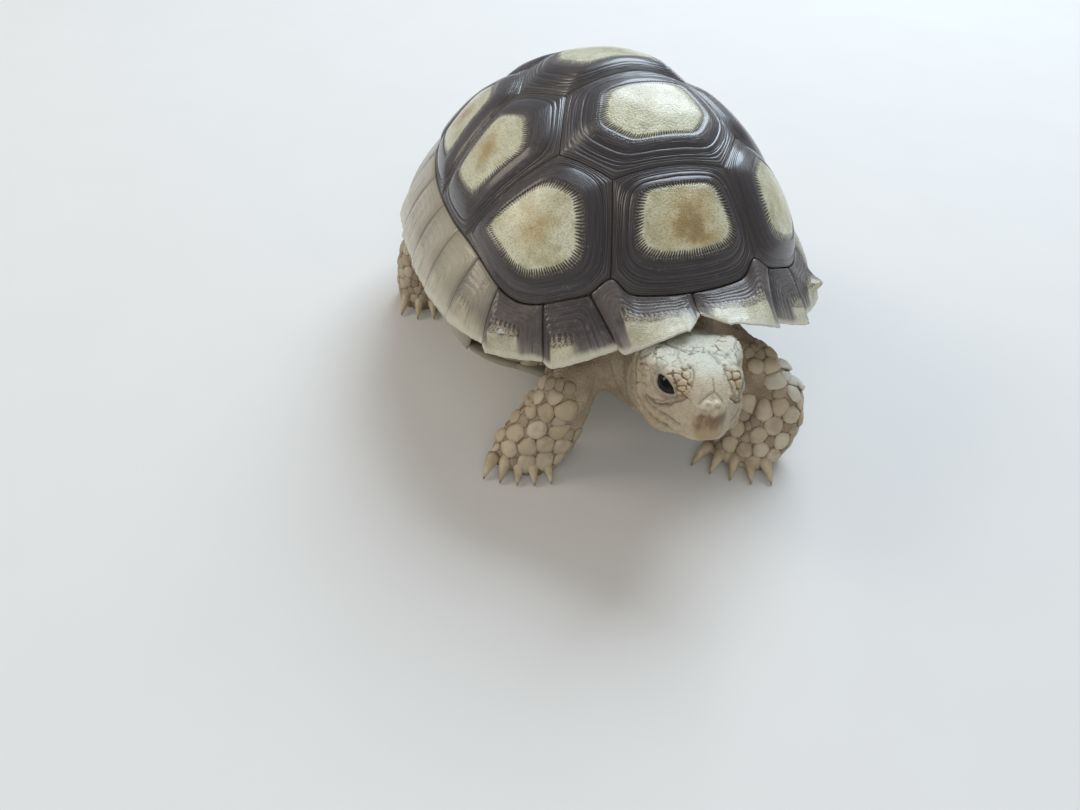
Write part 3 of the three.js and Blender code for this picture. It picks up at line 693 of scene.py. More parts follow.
def makePlastron(material):
    for i, (name, outline) in enumerate(plastronPlates.items()):
        for word, side in (("left", 1), ("right", -1)):
            points = np.array([*outline, outline[0]], float) * [side, 1]
            sides = [points[k : k + 2] for k in range(len(outline))]
            centre = points[:-1].mean(axis=0) * [1.15, 1]
            settings = (plastronPoint, plastronNormal, plastron["thickness"], plastronRings, spots["faint"])
            mesh = plateMesh(sides, centre, (0.5, 0.5), 0.3, *settings, 80 + 2 * i + (side < 0))
            finishPiece(mesh, f"{name}_{word}_plate", material, [f"{name}_{word}"])
    print("plastron")


hornColors = {
    "deep": (0.016, 0.012, 0.013),
    "dark": (0.040, 0.030, 0.031),
    "worn": (0.100, 0.080, 0.074),
    "grey": (0.190, 0.168, 0.138),
    "cream": (0.66, 0.65, 0.47),
    "straw": (0.44, 0.42, 0.26),
    "gold": (0.48, 0.31, 0.085),
    "olive": (0.20, 0.155, 0.075),
    "tan": (0.36, 0.31, 0.22),
    "bone": (0.47, 0.44, 0.34),
    "ivory": (0.60, 0.57, 0.45),
    "brown": (0.115, 0.080, 0.050),
}


def plateCoordinates(tree):
    mapped = addNode(tree, "ShaderNodeUVMap", uv_map="plateMap").outputs[0]
    parts = addNode(tree, "ShaderNodeSeparateXYZ", {0: mapped})
    place = addNode(tree, "ShaderNodeTexCoord").outputs["Object"]

    def along(aroundScale, inScale):
        around, inward = times(tree, parts.outputs[0], aroundScale), times(tree, parts.outputs[1], inScale)
        return addNode(tree, "ShaderNodeCombineXYZ", {0: around, 1: inward}).outputs[0]

    return along, place, parts.outputs[0]


def granularHorn(tree, place, spot):
    # the hatchling's plate: cream grains over straw, browner on its spot
    color = hornColors
    clouds = noise(tree, place, 260, 4, 0.6)
    base = mixColor(tree, level(tree, clouds, 0.42, 0.7), color["cream"], color["straw"])
    patch = times(tree, spot, level(tree, clouds, 0.15, 0.6))
    base = mixColor(tree, patch, base, color["gold"])
    base = tint(tree, level(tree, patch, 0.5, 0.95), 0.6, base, color["olive"])
    grains = cells(tree, place, 3300)
    base = tint(tree, level(tree, grains, 0.4, 0.85), 0.36, base, color["olive"])
    specks = noise(tree, place, 3600, 2)
    return tint(tree, level(tree, specks, 0.58, 0.78), 0.35, base, color["olive"]), grains


def bristles(tree, around, along, ring, border):
    # the comb of short dark ticks that crosses the border of the hatchling's plate
    wander = noise(tree, along(0.55, 2), 1, 2)
    wave = calc(tree, "SINE", plus(tree, times(tree, around, 8.4), times(tree, wander, 7.0)))
    length = wavering(tree, noise(tree, along(2.2, 0.5), 1, 1), 0.12)
    at = plus(tree, ring, length)
    window = level(tree, at, border - 0.1, border - 0.06)
    window = times(tree, window, level(tree, at, border + 0.17, border + 0.12))
    return times(tree, level(tree, wave, -0.35, 0.1), window)


def shadeHorn(tree, color, rough, height, grains, hatchling, strength, coat):
    grain = times(tree, minus(tree, 1.0, grains), times(tree, hatchling, 0.00011))
    shade(tree, Base_Color=color, Roughness=rough, Normal=bump(tree, plus(tree, height, grain), strength))
    shade(tree, Specular_IOR_Level=0.6, Coat_Weight=coat["weight"], Coat_Roughness=coat["rough"])


def carapaceMaterial():
    material, tree = newMaterial("carapace_horn")
    color = hornColors
    along, place, around = plateCoordinates(tree)
    ring, groove, spot = attributes(tree, "ring", "groove", "spot")
    streaks = noise(tree, along(0.12, 30), 1, 4, 0.62)
    broad = noise(tree, along(0.05, 4), 1, 2)
    dark = ramp(tree, streaks, [(0.32, color["deep"]), (0.54, color["dark"]), (0.78, color["worn"])])
    dark = tint(tree, level(tree, broad, 0.52, 0.75), 0.3, dark, color["worn"])
    outer = times(tree, level(tree, ring, 0.3, 0.05), times(tree, streaks, 0.55))
    dark = mixColor(tree, outer, dark, color["grey"])
    # painted shade in the grooves of the growth rings and the seams
    dark = tint(tree, groove, 0.8, dark, color["deep"])
    dust = level(tree, noise(tree, place, 900, 5, 0.7), 0.62, 0.74)
    dark = tint(tree, dust, 0.25, dark, color["tan"])
    areola, grains = granularHorn(tree, place, spot)
    wave = wavering(tree, noise(tree, along(0.8, 0.5), 1, 3), 0.1)
    jagged = plus(tree, ring, wave)
    inside = level(tree, jagged, 1.0, 1.12)
    border = mixColor(tree, level(tree, grains, 0.2, 0.7), color["grey"], color["brown"])
    dark = mixColor(tree, level(tree, jagged, 0.88, 0.97), dark, border)
    final = mixColor(tree, inside, dark, areola)
    comb = bristles(tree, around, along, ring, 0.98)
    final = tint(tree, comb, 0.93, final, color["deep"])
    rough = plus(tree, 0.24, times(tree, streaks, 0.16))
    rough = plus(tree, rough, times(tree, inside, 0.14))
    fine = noise(tree, along(0.1, 60), 1, 3, 0.6)
    height = plus(tree, times(tree, fine, 0.00007), times(tree, streaks, 0.00012))
    height = minus(tree, height, times(tree, comb, 0.00008))
    shadeHorn(tree, final, rough, height, grains, inside, 0.75, {"weight": 0.6, "rough": 0.16})
    return material


def marginalMaterial():
    material, tree = newMaterial("marginal_horn")
    color = hornColors
    along, place, around = plateCoordinates(tree)
    ring, groove, toRim, spot = attributes(tree, "ring", "groove", "toRim", "spot")
    darkness, inner, seamShade = attributes(tree, "dark", "inside", "seamShade")
    clouds = noise(tree, place, 160, 4, 0.6)
    rings = addNode(tree, "ShaderNodeCombineXYZ", {0: times(tree, ring, 24), 1: times(tree, clouds, 2)})
    streaks = noise(tree, rings.outputs[0], 1, 4, 0.65)
    fibres = noise(tree, place, 1200, 3, 0.6)
    shareDark = plus(tree, darkness, wavering(tree, clouds, 0.45))
    shareDark = minus(tree, shareDark, times(tree, level(tree, toRim, 0.55, 1.0), 0.4))
    contrast = plus(tree, 0.04, times(tree, darkness, 0.6))
    shareDark = plus(tree, shareDark, wavering(tree, streaks, contrast))
    # painted shade: the horn darkens towards the seams between the marginals
    shareDark = plus(tree, shareDark, times(tree, seamShade, 0.12))
    stops = [(0.0, "bone"), (0.22, "tan"), (0.45, "grey"), (0.7, "worn"), (0.95, "dark")]
    band = ramp(tree, shareDark, [(at, color[name]) for at, name in stops])
    band = tint(tree, level(tree, fibres, 0.52, 0.75), 0.2, band, color["tan"])
    # painted shade in the grooves of the growth rings and the seams, stronger on darker plates
    scored = times(tree, groove, plus(tree, 0.08, times(tree, darkness, 0.55)))
    band = mixColor(tree, scored, band, color["deep"])
    areola, grains = granularHorn(tree, place, 0.0)
    areola = tint(tree, level(tree, clouds, 0.3, 0.65), 0.5, areola, color["tan"])
    upper = mixColor(tree, level(tree, grains, 0.3, 0.7), color["tan"], color["brown"])
    ragged = plus(tree, spot, wavering(tree, clouds, 1.1))
    areola = tint(tree, level(tree, ragged, 0.3, 0.75), 0.85, areola, upper)
    wave = wavering(tree, noise(tree, along(0.8, 0.5), 1, 3), 0.24)
    within = level(tree, plus(tree, ring, wave), 0.88, 1.14)
    within = times(tree, within, level(tree, darkness, 0.02, 0.45))
    final = mixColor(tree, within, band, areola)
    comb = times(tree, bristles(tree, around, along, ring, 1.0), level(tree, toRim, 0.8, 0.55))
    comb = times(tree, comb, level(tree, darkness, 0.1, 0.55))
    final = tint(tree, comb, 0.75, final, color["deep"])
    edge = level(tree, plus(tree, toRim, wavering(tree, clouds, 0.3)), 0.88, 1.0)
    final = tint(tree, edge, 0.85, final, color["ivory"])
    final = mixColor(tree, inner, final, color["tan"])
    rough = plus(tree, 0.3, times(tree, fibres, 0.2))
    height = plus(tree, times(tree, streaks, 0.00016), times(tree, fibres, 0.00007))
    shadeHorn(tree, final, rough, height, grains, within, 0.8, {"weight": 0.55, "rough": 0.17})
    return material


def plastronMaterial():
    material, tree = newMaterial("plastron_horn")
    color = hornColors
    along, place, _ = plateCoordinates(tree)
    ring, groove = attributes(tree, "ring", "groove")
    streaks = noise(tree, along(0.12, 20), 1, 3)
    base = mixColor(tree, level(tree, streaks, 0.4, 0.65), color["ivory"], color["straw"])
    stain = times(tree, level(tree, noise(tree, place, 150, 4), 0.5, 0.7), 0.35)
    base = mixColor(tree, stain, base, color["brown"])
    # painted shade in the grooves of the growth rings and the seams
    base = tint(tree, groove, 0.55, base, color["brown"])
    base = tint(tree, level(tree, ring, 1.0, 1.4), 0.25, base, color["cream"])
    normal = bump(tree, times(tree, streaks, 0.00012), 0.7)
    shade(tree, Base_Color=base, Roughness=0.48, Normal=normal, Coat_Weight=0.15, Coat_Roughness=0.3)
    return material


# the head's own frame: x to the animal's left, y back from the snout, z up
headLift = 16  # degrees that the nose is raised by
eyeHome = np.array([0, -4.2, 1.3])  # the middle between the eyes


def eyeCentre(side):
    low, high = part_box("eye_left" if side > 0 else "eye_right")
    return toShell((low + high) / 2)


headAcross = unit(eyeCentre(1) - eyeCentre(-1))
headTurn = math.atan2(-headAcross[1], headAcross[0])
headAxes = np.array(Matrix.Rotation(-headTurn, 3, "Z") @ Matrix.Rotation(-math.radians(headLift), 3, "X"))
headOrigin = (eyeCentre(1) + eyeCentre(-1)) / 2 - headAxes @ eyeHome


def toHead(points):
    return (points - headOrigin) @ headAxes


def fromHead(points):
    return points @ headAxes.T + headOrigin


eyes = {
    "radius": 2.5,
    "gaze": (0.72, -0.64, 0.25),
    "leftTurn": 0.3,  # how much further out the left eye looks
    "slant": (-0.42, -0.76, -0.50),  # the long axis of the opening runs forward and down
    "length": 2.3,
    "width": 1.0,
    "lid": 0.3,
}


def eyeFrame(side):
    # the outward, long and short axes of one eye's opening
    mirror = np.array([side, 1, 1])
    turned = [eyes["leftTurn"], eyes["leftTurn"], 0] if side > 0 else [0, 0, 0]
    out = unit((np.array(eyes["gaze"]) + turned) * mirror)
    slant = np.array(eyes["slant"]) * mirror
    along = unit(slant - out * (slant @ out))
    across = np.cross(out, along)
    if across[2] < 0:
        across = -across
    return out, along, across


def openingAt(local, side):
    # where points lie on the eyelids: along and across the opening, and the distance out from its rim
    centre = toHead(eyeCentre(side)[None])[0]
    out, along, across = eyeFrame(side)
    away = local - centre
    way = away / np.linalg.norm(away, axis=1)[:, None]
    reach = eyes["radius"] + eyes["lid"]
    a = np.arctan2(way @ along, way @ out) * reach
    b = np.arcsin(np.clip(way @ across, -1, 1)) * reach
    half = eyes["width"] * np.maximum(1 - (a / eyes["length"]) ** 2, 0) ** 0.8
    beyond = np.maximum(np.abs(a) - eyes["length"], 0)
    rimAway = np.where(beyond > 0, np.hypot(beyond, b), np.abs(b) - half)
    rimAway = np.where(way @ out < 0.1, 9, rimAway)
    return centre, way, a, b, rimAway


# the skin, one surface over all the flesh
skin = {
    "nodes": [
        *("trunk", "neck", "head", "tail"),
        *("front_left_leg", "front_right_leg", "hind_left_leg", "hind_right_leg"),
    ],
    "swell": 0.22,  # closes the gaps between the nodes before they are made one
    "voxel": 0.6,
    "smoothing": 9,
    "hiddenLevel": 13,  # inside the dome, where the skin is never seen
    "hiddenShare": 0.66,
    "coatDepth": 0.35,
    "headDepth": 0.04,
    "throat": 1.8,  # how far it sags
    "flank": 3.0,  # how far the sides swell
}


def fleshMesh():
    bm = bmesh.new()
    for name in skin["nodes"]:
        bm.from_mesh(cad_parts[name].data)
    for name in ("eye_left", "eye_right"):
        low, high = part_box(name)
        centre = (low + high) / 2
        start = len(bm.verts)
        bm.from_mesh(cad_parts[name].data)
        bm.verts.ensure_lookup_table()
        grown = Matrix.Scale(1 + eyes["lid"] / eyes["radius"], 4)
        fit = Matrix.Translation(centre) @ grown @ Matrix.Translation(-centre)
        bmesh.ops.transform(bm, matrix=fit, verts=bm.verts[start:])
    bmesh.ops.remove_doubles(bm, verts=bm.verts, dist=1e-6)
    bm.normal_update()
    for vert in bm.verts:
        vert.co += vert.normal * skin["swell"] * mm
    return newMesh(bm, "flesh")


def applied(mesh, kind, group=None, **settings):
    # the mesh with one modifier applied
    holder = addObject("holder", mesh)
    if group is not None:
        picked = [int(i) for i in np.flatnonzero(group)]
        holder.vertex_groups.new(name="chosen").add(picked, 1.0, "REPLACE")
        settings["vertex_group"] = "chosen"
    modifier = holder.modifiers.new(kind, kind)
    for key, value in settings.items():
        setattr(modifier, key, value)
    evaluated = holder.evaluated_get(bpy.context.evaluated_depsgraph_get())
    result = bpy.data.meshes.new_from_object(evaluated)
    bpy.data.objects.remove(holder)
    return result


def smoothVerts(bm, verts, passes):
    axes = {"use_axis_x": True, "use_axis_y": True, "use_axis_z": True}
    for _ in range(passes):
        bmesh.ops.smooth_vert(bm, verts=verts, factor=0.5, **axes)


def refine(mesh, chosen, passes):
    # splits the chosen part's faces once and smooths them
    bm = bmesh.new()
    bm.from_mesh(mesh)
    part = bm.verts.layers.float.new("part")
    for vert, share in zip(bm.verts, chosen):
        vert[part] = float(share)
    edges = [edge for edge in bm.edges if edge.verts[0][part] and edge.verts[1][part]]
    bmesh.ops.subdivide_edges(bm, edges=edges, cuts=1, use_grid_fill=True)
    smoothVerts(bm, [vert for vert in bm.verts if vert[part] > 0.5], passes)
    bm.verts.layers.float.remove(part)
    bm.to_mesh(mesh)
    bm.free()
    return mesh


def smoothed(mesh, passes):
    bm = bmesh.new()
    bm.from_mesh(mesh)
    smoothVerts(bm, bm.verts, passes)
    bm.to_mesh(mesh)
    bm.free()
    return mesh


# the head's large shields: place in the head's frame and reach, in mm; those off the middle are mirrored
headShields = [
    ((0.2, 3.0, 6.0), 4.3),
    ((0.4, -4.3, 5.0), 1.9),
    ((1.3, -7.4, 3.5), 1.4),
    ((4.6, -1.6, 5.0), 1.0),
    ((6.0, 0.6, 4.4), 1.2),
    ((6.6, -2.0, 3.6), 0.9),
    ((5.6, -3.6, 4.3), 0.8),
    ((6.6, 4.6, 4.2), 1.6),
    ((7.6, 3.4, -0.6), 1.7),
    ((3.0, -8.6, -0.6), 1.6),
    ((4.9, -6.0, -1.6), 1.5),
]
mouth = {"depth": 0.5, "width": 0.16, "corner": -0.6, "inset": 0.45}
nose = {"nostril": (0.66, -10.62, 0.5), "size": 0.2, "depth": 0.5, "mound": 0.36}
# where the brows, temples, jowls and chin stand out from the head: the left one's place, the right
# one's as if on the left, the reach, and how far each stands out
fullness = [
    ((6.9, -3.9, 3.1), (6.3, -3.4, 4.0), 1.9, (1.4, 0.7)),
    ((6.0, 0.8, 4.9), (6.0, 0.8, 4.9), 2.9, (1.5, 1.0)),
    ((4.4, -3.4, -4.8), (4.4, -3.4, -4.8), 3.8, (1.5, 1.5)),
    ((1.6, -8.4, -5.0), (1.6, -8.4, -5.0), 1.9, (0.7, 0.7)),
]
# the crack down the snout and its two wings over the nose, seen from above
fissure = [((0.9, -6.9), (0.65, -8.9)), ((0.65, -8.9), (-1.85, -9.95)), ((0.65, -8.9), (2.15, -10.05))]
snoutMiddle = 0.7
# folds and wide cracks of the head: the points each runs through, its width and depth, and how dark the
# painted shade along it is
headFolds = [
    (
        [(6.9, -2.6, -1.0), (6.0, -5.0, -1.4), (4.9, -6.9, -0.9), (3.9, -8.2, 0.1), (3.3, -8.8, 0.8)],
        *(0.24, 0.4, 0.85),
    ),
    ([(6.2, -4.2, -0.9), (5.4, -6.0, -0.6), (4.6, -7.1, -0.1), (3.9, -7.9, 0.6)], 0.18, 0.2, 0.5),
    ([(7.0, -2.0, -1.6), (6.0, -4.6, -2.0), (4.7, -6.7, -2.6), (3.6, -8.1, -3.3)], 0.26, 0.36, 0.6),
    (
        [(7.5, 0.6, -1.6), (7.0, -1.6, -2.9), (6.2, -3.6, -3.3), (5.0, -5.6, -4.0), (4.2, -6.8, -4.5)],
        *(0.28, 0.4, 0.6),
    ),
    ([(7.4, 1.8, -2.8), (6.8, -0.6, -4.4), (5.8, -2.8, -5.2), (4.8, -4.6, -5.6)], 0.28, 0.4, 0.5),
    ([(6.9, -3.4, 3.3), (7.1, -1.6, 3.2), (7.2, 0.2, 2.6)], 0.18, 0.22, 0.5),
    ([(7.2, -2.6, 1.8), (7.4, -1.0, 1.4), (7.5, 0.6, 1.6)], 0.16, 0.16, 0.3),
    ([(7.2, -2.4, 0.4), (7.5, -0.8, 0.0), (7.6, 1.0, -0.6)], 0.2, 0.22, 0.4),
    ([(6.6, 1.4, 4.9), (7.3, 1.6, 2.6), (7.6, 1.3, 0.2), (7.3, 0.2, -2.2)], 0.36, 0.5, 0.6),
    (
        [(6.8, 3.0, 4.6), (7.6, 3.2, 1.8), (7.6, 4.0, -1.2), (7.0, 3.2, -4.6), (6.0, 0.2, -6.0)],
        *(0.45, 0.7, 0.7),
    ),
    ([(6.8, 5.6, 4.2), (7.6, 6.2, 1.0), (7.2, 6.0, -2.6), (6.2, 5.0, -5.4)], 0.45, 0.7, 0.6),
]
crownCracks = [
    (
        [(-3.2, -8.8, 0.8), (-2.6, -8.1, 1.8), (-1.9, -7.0, 3.0), (-1.5, -5.8, 3.9), (-2.2, -4.8, 4.4)],
        *(0.18, 0.2, 0.75),
    ),
    (
        [(3.9, -8.5, 0.8), (3.7, -8.0, 1.8), (3.3, -7.0, 2.8), (3.0, -5.8, 3.7), (3.4, -4.8, 4.2)],
        *(0.18, 0.2, 0.75),
    ),
    (
        [
            *((-6.2, 2.6, 4.7), (-4.4, 0.4, 5.4), (-2.6, -1.3, 5.5)),
            *((-0.6, -2.2, 5.4), (1.6, -2.4, 5.4), (3.9, -3.1, 5.0)),
        ],
        *(0.13, 0.16, 1.0),
    ),
    ([(3.9, -3.1, 5.0), (5.3, -1.6, 4.6), (6.0, 0.6, 4.4), (6.3, 2.8, 4.6)], 0.12, 0.13, 0.8),
    ([(-2.6, -1.3, 5.5), (-3.2, -2.8, 5.1), (-3.0, -4.2, 4.6)], 0.12, 0.12, 0.7),
    ([(1.6, -2.4, 5.4), (2.4, -3.6, 5.0), (2.4, -4.8, 4.4)], 0.12, 0.12, 0.7),
    ([(-4.4, 0.4, 5.4), (-5.4, -0.6, 4.9), (-6.2, -1.9, 4.3)], 0.12, 0.12, 0.7),
    ([(0.3, 8.0, 5.2), (0.2, 5.2, 5.9), (0.5, 3.0, 6.1)], 0.12, 0.1, 0.5),
]


def foldAway(local, swayed, run):
    # how far points are from a wavering line drawn on the skin through a few points near it
    run = np.array(run, float)
    along = np.linspace(0, len(run) - 1, 5 * len(run))
    line = np.stack([np.interp(along, range(len(run)), run[:, k]) for k in range(3)], axis=1)
    line = np.array([swayed[np.argmin(np.sum((local - point) ** 2, axis=1))] for point in line])
    line[1:-1] = (line[:-2] + 2 * line[1:-1] + line[2:]) / 4
    away = np.full(len(local), 9.0)
    for first, last in zip(line, line[1:]):
        step = last - first
        share = np.clip((swayed - first) @ step / max(step @ step, 1e-9), 0, 1)
        away = np.minimum(away, np.linalg.norm(swayed - first - share[:, None] * step, axis=1))
    return away


def mouthLevel(y):
    return np.interp(y, [-11, -10, -8, -5, -2, 0], [-5.0, -4.9, -4.7, -4.9, -4.4, -3.4])


def shieldSize(local):
    # the reach of the head's scales from place to place
    y, z = local[:, 1], local[:, 2]
    size = np.full(len(local), 1.15)
    size = np.where(z < -3.2, 0.8, size)
    size = np.where((z > 3.2) & (y > -1.5), 1.3, size)
    size = np.where((z > 2.0) & (y < -1.5), 0.7, size)
    size = np.where(onBeads(local) > 0.3, 0.5, size)
    return np.where(y > 6.5, 0.75, size)


def onBeads(local):
    # the patch of small rounded scales between each eye and the ridge of the snout
    x, y, z = np.abs(local[:, 0] - snoutMiddle), local[:, 1], local[:, 2]
    along = (-y - 5.0) / 3.4
    inner = 2.35 + 0.9 * np.clip(along, 0, 1)
    patch = smoothStep(x, inner - 0.15, inner + 0.1) * smoothStep(-y, 4.6, 5.2)
    patch *= 1 - smoothStep(-y, 8.6, 9.1)
    return patch * smoothStep(z, 0.3, 0.8) * (1 - smoothStep(x, 6.2, 6.6))


def scatter(points, sizes, seed, taken=()):
    # picks points that keep their own size away from each other, the largest first
    dice = np.random.default_rng(seed)
    order = np.argsort(-sizes * (1 + 0.15 * dice.random(len(points))))
    free = np.ones(len(points), bool)
    for point, size in taken:
        free &= np.sum((points - point) ** 2, axis=1) > (0.9 * (sizes + size)) ** 2
    kept = []
    for i in order:
        if free[i]:
            kept.append(i)
            free &= np.sum((points - points[i]) ** 2, axis=1) > (0.9 * (sizes + sizes[i])) ** 2
    return np.array(kept, int)


def borderAway(points, seeds, sizes):
    # how far each point is from the border of its own cell, and which cell that is
    away = np.empty(len(points))
    own = np.empty(len(points), int)
    for start in range(0, len(points), 8000):
        part = points[start : start + 8000]
        far = np.linalg.norm(part[:, None] - seeds[None], axis=2) - sizes[None] * 0.8
        pair = np.sort(np.partition(far, 1, axis=1)[:, :2], axis=1)
        away[start : start + 8000] = (pair[:, 1] - pair[:, 0]) / 2
        own[start : start + 8000] = far.argmin(axis=1)
    return away, own


def lineAway(points, first, last):
    # how far flat points are from a short straight line
    first, last = np.array(first, float), np.array(last, float)
    share = np.clip((points - first) @ (last - first) / np.sum((last - first) ** 2), 0, 1)
    return np.linalg.norm(points - first - share[:, None] * (last - first), axis=1)


# what the sculpting tells the skin's colours, point by point
skinMarks = ["crack", "scored", "border", "horn", "lid", "moist", "shield"]
skinMarks += ["bead", "stain", "cheek", "margin"]


def shieldBorders(local, marks):
    # how far each point is from its scale's border, and where the small rounded scales are
    y = local[:, 1]
    large = []
    for at, size in headShields:
        for side in (1, -1) if at[0] > 0.5 else (1,):
            large.append((np.array(at) * [side, 1, 1], size))
    among = np.flatnonzero((y < 12) & (y > -11))
    picked = among[scatter(local[among], shieldSize(local[among]), 5, large)]
    seeds = np.vstack([[at for at, _ in large], local[picked]])
    sizes = np.r_[[size for _, size in large], shieldSize(local[picked])]
    bead = onBeads(local)
    wobble = (1 - 0.8 * bead)[:, None]
    warp = 0.2 * np.sin(local[:, [1, 2, 0]] * 2.3 + 1) + 0.12 * np.sin(local[:, [2, 0, 1]] * 5.1)
    border, own = borderAway(local + warp * wobble, seeds, sizes)
    marks["shield"] = np.random.default_rng(3).random(len(seeds))[own]
    marks["border"] = np.minimum(border, 1)
    marks["bead"] = bead
    return border, bead


def scoreStrength(local, bead):
    # how deep the lines between the scales are, from the crown down to the smooth snout and beak
    x, y, z = local.T
    beak = smoothStep(-z, 0.5, 1.2) * smoothStep(-y, 8.2, 9.0)
    crown = smoothStep(z, 2.8, 4.2) * smoothStep(y, -3.4, -2.2)
    snout = (1 - smoothStep(np.abs(x), 2.0, 2.8)) * smoothStep(-y, 3.6, 4.8) * smoothStep(z, -0.5, 0.5)
    strong = blend(0.45, 0.8, np.clip(crown + 1.5 * bead, 0, 1)) * (1 - 0.85 * snout) * (1 - beak)
    return strong * (1 - smoothStep(y, 7.5, 10)) * blend(0.35, 1, smoothStep(z, -1, 3))


def cutMouth(local, lift, marks):
    # the mouth's line, with the lower jaw a little inside the beak, and the beak's dark horn
    x, y, z = local.T
    reach = smoothStep(mouth["corner"] - y, -0.2, 0.8)
    away = z - mouthLevel(y)
    lift -= mouth["depth"] * np.exp(-((away / mouth["width"]) ** 2)) * reach
    lift -= mouth["inset"] * smoothStep(-away, 0.05, 0.5) * reach * smoothStep(z, -6.4, -4.6)
    lift += 0.16 * np.exp(-(((away - 0.45) / 0.4) ** 2)) * reach
    # painted shade along the mouth's line
    marks["crack"] = np.maximum(marks["crack"], np.exp(-((away / 0.2) ** 2)) * reach)
    middle = 1 - smoothStep(np.abs(x - 0.15 * np.sin(z * 3)), 1.6, 2.9)
    hornTop = 0.75 + 0.22 * np.sin(x * 2.1 + 0.6) + 0.12 * np.sin(x * 5.3)
    hornLow = 3.0 + 0.3 * np.sin(x * 3.1) + 0.16 * np.sin(x * 7.7 + 1)
    marks["horn"] = smoothStep(-y, 9.2, 10.0) * middle * smoothStep(-z, hornTop - 0.3, hornTop + 0.45)
    marks["beakPale"] = smoothStep(-z, hornLow - 0.9, hornLow + 0.7) * marks["horn"]
    edge = smoothStep(0.9 - away, 0, 0.5) * smoothStep(away, -1.1, -0.5)
    marks["beakEdge"] = smoothStep(-y, 7.4, 8.6) * edge
    return lift


def creaseSkin(local, lift, marks):
    # each fold sinks along its line and swells a little beside it
    swayed = local + 0.16 * np.sin(local[:, [1, 2, 0]] * 1.9 + 0.7)
    swayed += 0.07 * np.sin(local[:, [2, 0, 1]] * 5.3)
    mirrored = [(np.array(run) * [side, 1, 1], *rest) for run, *rest in headFolds for side in (1, -1)]
    for run, width, depth, darkness in [*mirrored, *crownCracks]:
        off = foldAway(local, swayed, run)
        beside = np.exp(-(((off - 2.1 * width) / (1.3 * width)) ** 2))
        lift += depth * (0.45 * beside - np.exp(-((off / width) ** 2)))
        # each line is painted dark, as painted shade in the fold or crack
        line = darkness * np.exp(-((off / (0.8 * width)) ** 2))
        marks["crack"] = np.maximum(marks["crack"], line)
    return lift


def openNostril(moved, outward, side, marks):
    at = np.array(nose["nostril"]) * [side, 1, 1]
    far = np.linalg.norm(moved - at, axis=1)
    hole = np.exp(-((far / nose["size"]) ** 4))
    mound = np.exp(-(((far - nose["size"] * 2.4) / 0.36) ** 2))
    mound *= smoothStep(moved[:, 2] - at[2], -0.6, 0.3) * nose["mound"]
    marks["moist"] = np.maximum(marks["moist"], np.exp(-((far / 1.25) ** 2)))
    # painted shade in the nostril's hole
    marks["crack"] = np.maximum(marks["crack"], hole)
    return moved - outward * (hole * nose["depth"] - mound)[:, None]


def shapeLids(moved, side, bead, relief, marks):
    # the lids lie on a ball a little larger than the eye, with a rim, folds and the opening
    out, _, _ = eyeFrame(side)
    centre, way, a, b, rimAway = openingAt(moved, side)
    face = way @ out
    lids = smoothStep(face, 0.42, 0.68)
    margin = np.exp(-(((rimAway - 0.16) / 0.2) ** 2))
    fold = np.exp(-(((rimAway - 0.52) / 0.12) ** 2)) + 0.6 * np.exp(-(((rimAway - 1.05) / 0.14) ** 2))
    fold *= 1 - bead
    reach = eyes["radius"] + eyes["lid"] + 0.12 * margin - 0.2 * fold
    reach = blend(eyes["radius"] - 0.6, reach, smoothStep(rimAway, -0.2, 0.06))
    reach += relief * smoothStep(rimAway, 0.3, 0.6)
    onLid = lids * (1 - smoothStep(rimAway, 1.0, 2.0))
    onLid = np.where((rimAway < 0.45) & (face > 0.1), 1, onLid)
    moved = blend(moved, centre + way * reach[:, None], onLid[:, None])
    sunk = (np.linalg.norm(moved - centre, axis=1) < eyes["radius"] + 0.2) & (rimAway > 0.1)
    moved = np.where(sunk[:, None], centre + way * (eyes["radius"] + 0.2), moved)
    rimMark = np.exp(-(((rimAway - 0.1) / 0.13) ** 2)) * lids
    marks["margin"] = np.maximum(marks["margin"], rimMark)
    marks["lid"] = np.maximum(marks["lid"], np.exp(-((np.maximum(rimAway, 0) / 0.3) ** 2)))
    marks["crack"] = marks["crack"] * (1 - smoothStep(0.7 - rimAway, 0, 0.4))
    marks["scored"] = marks["scored"] * (1 - smoothStep(0.5 - rimAway, 0, 0.3))
    # painted shade in the lids' folds
    marks["crack"] = np.maximum(marks["crack"], 0.8 * fold * lids)
    marks["bead"] = marks["bead"] * smoothStep(rimAway, 0.3, 0.6)
    corner = np.hypot((a - eyes["length"] + 0.5) / 1.7, b + 1.5)
    stain = np.exp(-((corner / 0.55) ** 2)) * smoothStep(face, 0, 0.2)
    marks["stain"] = np.maximum(marks["stain"], stain)
    return moved


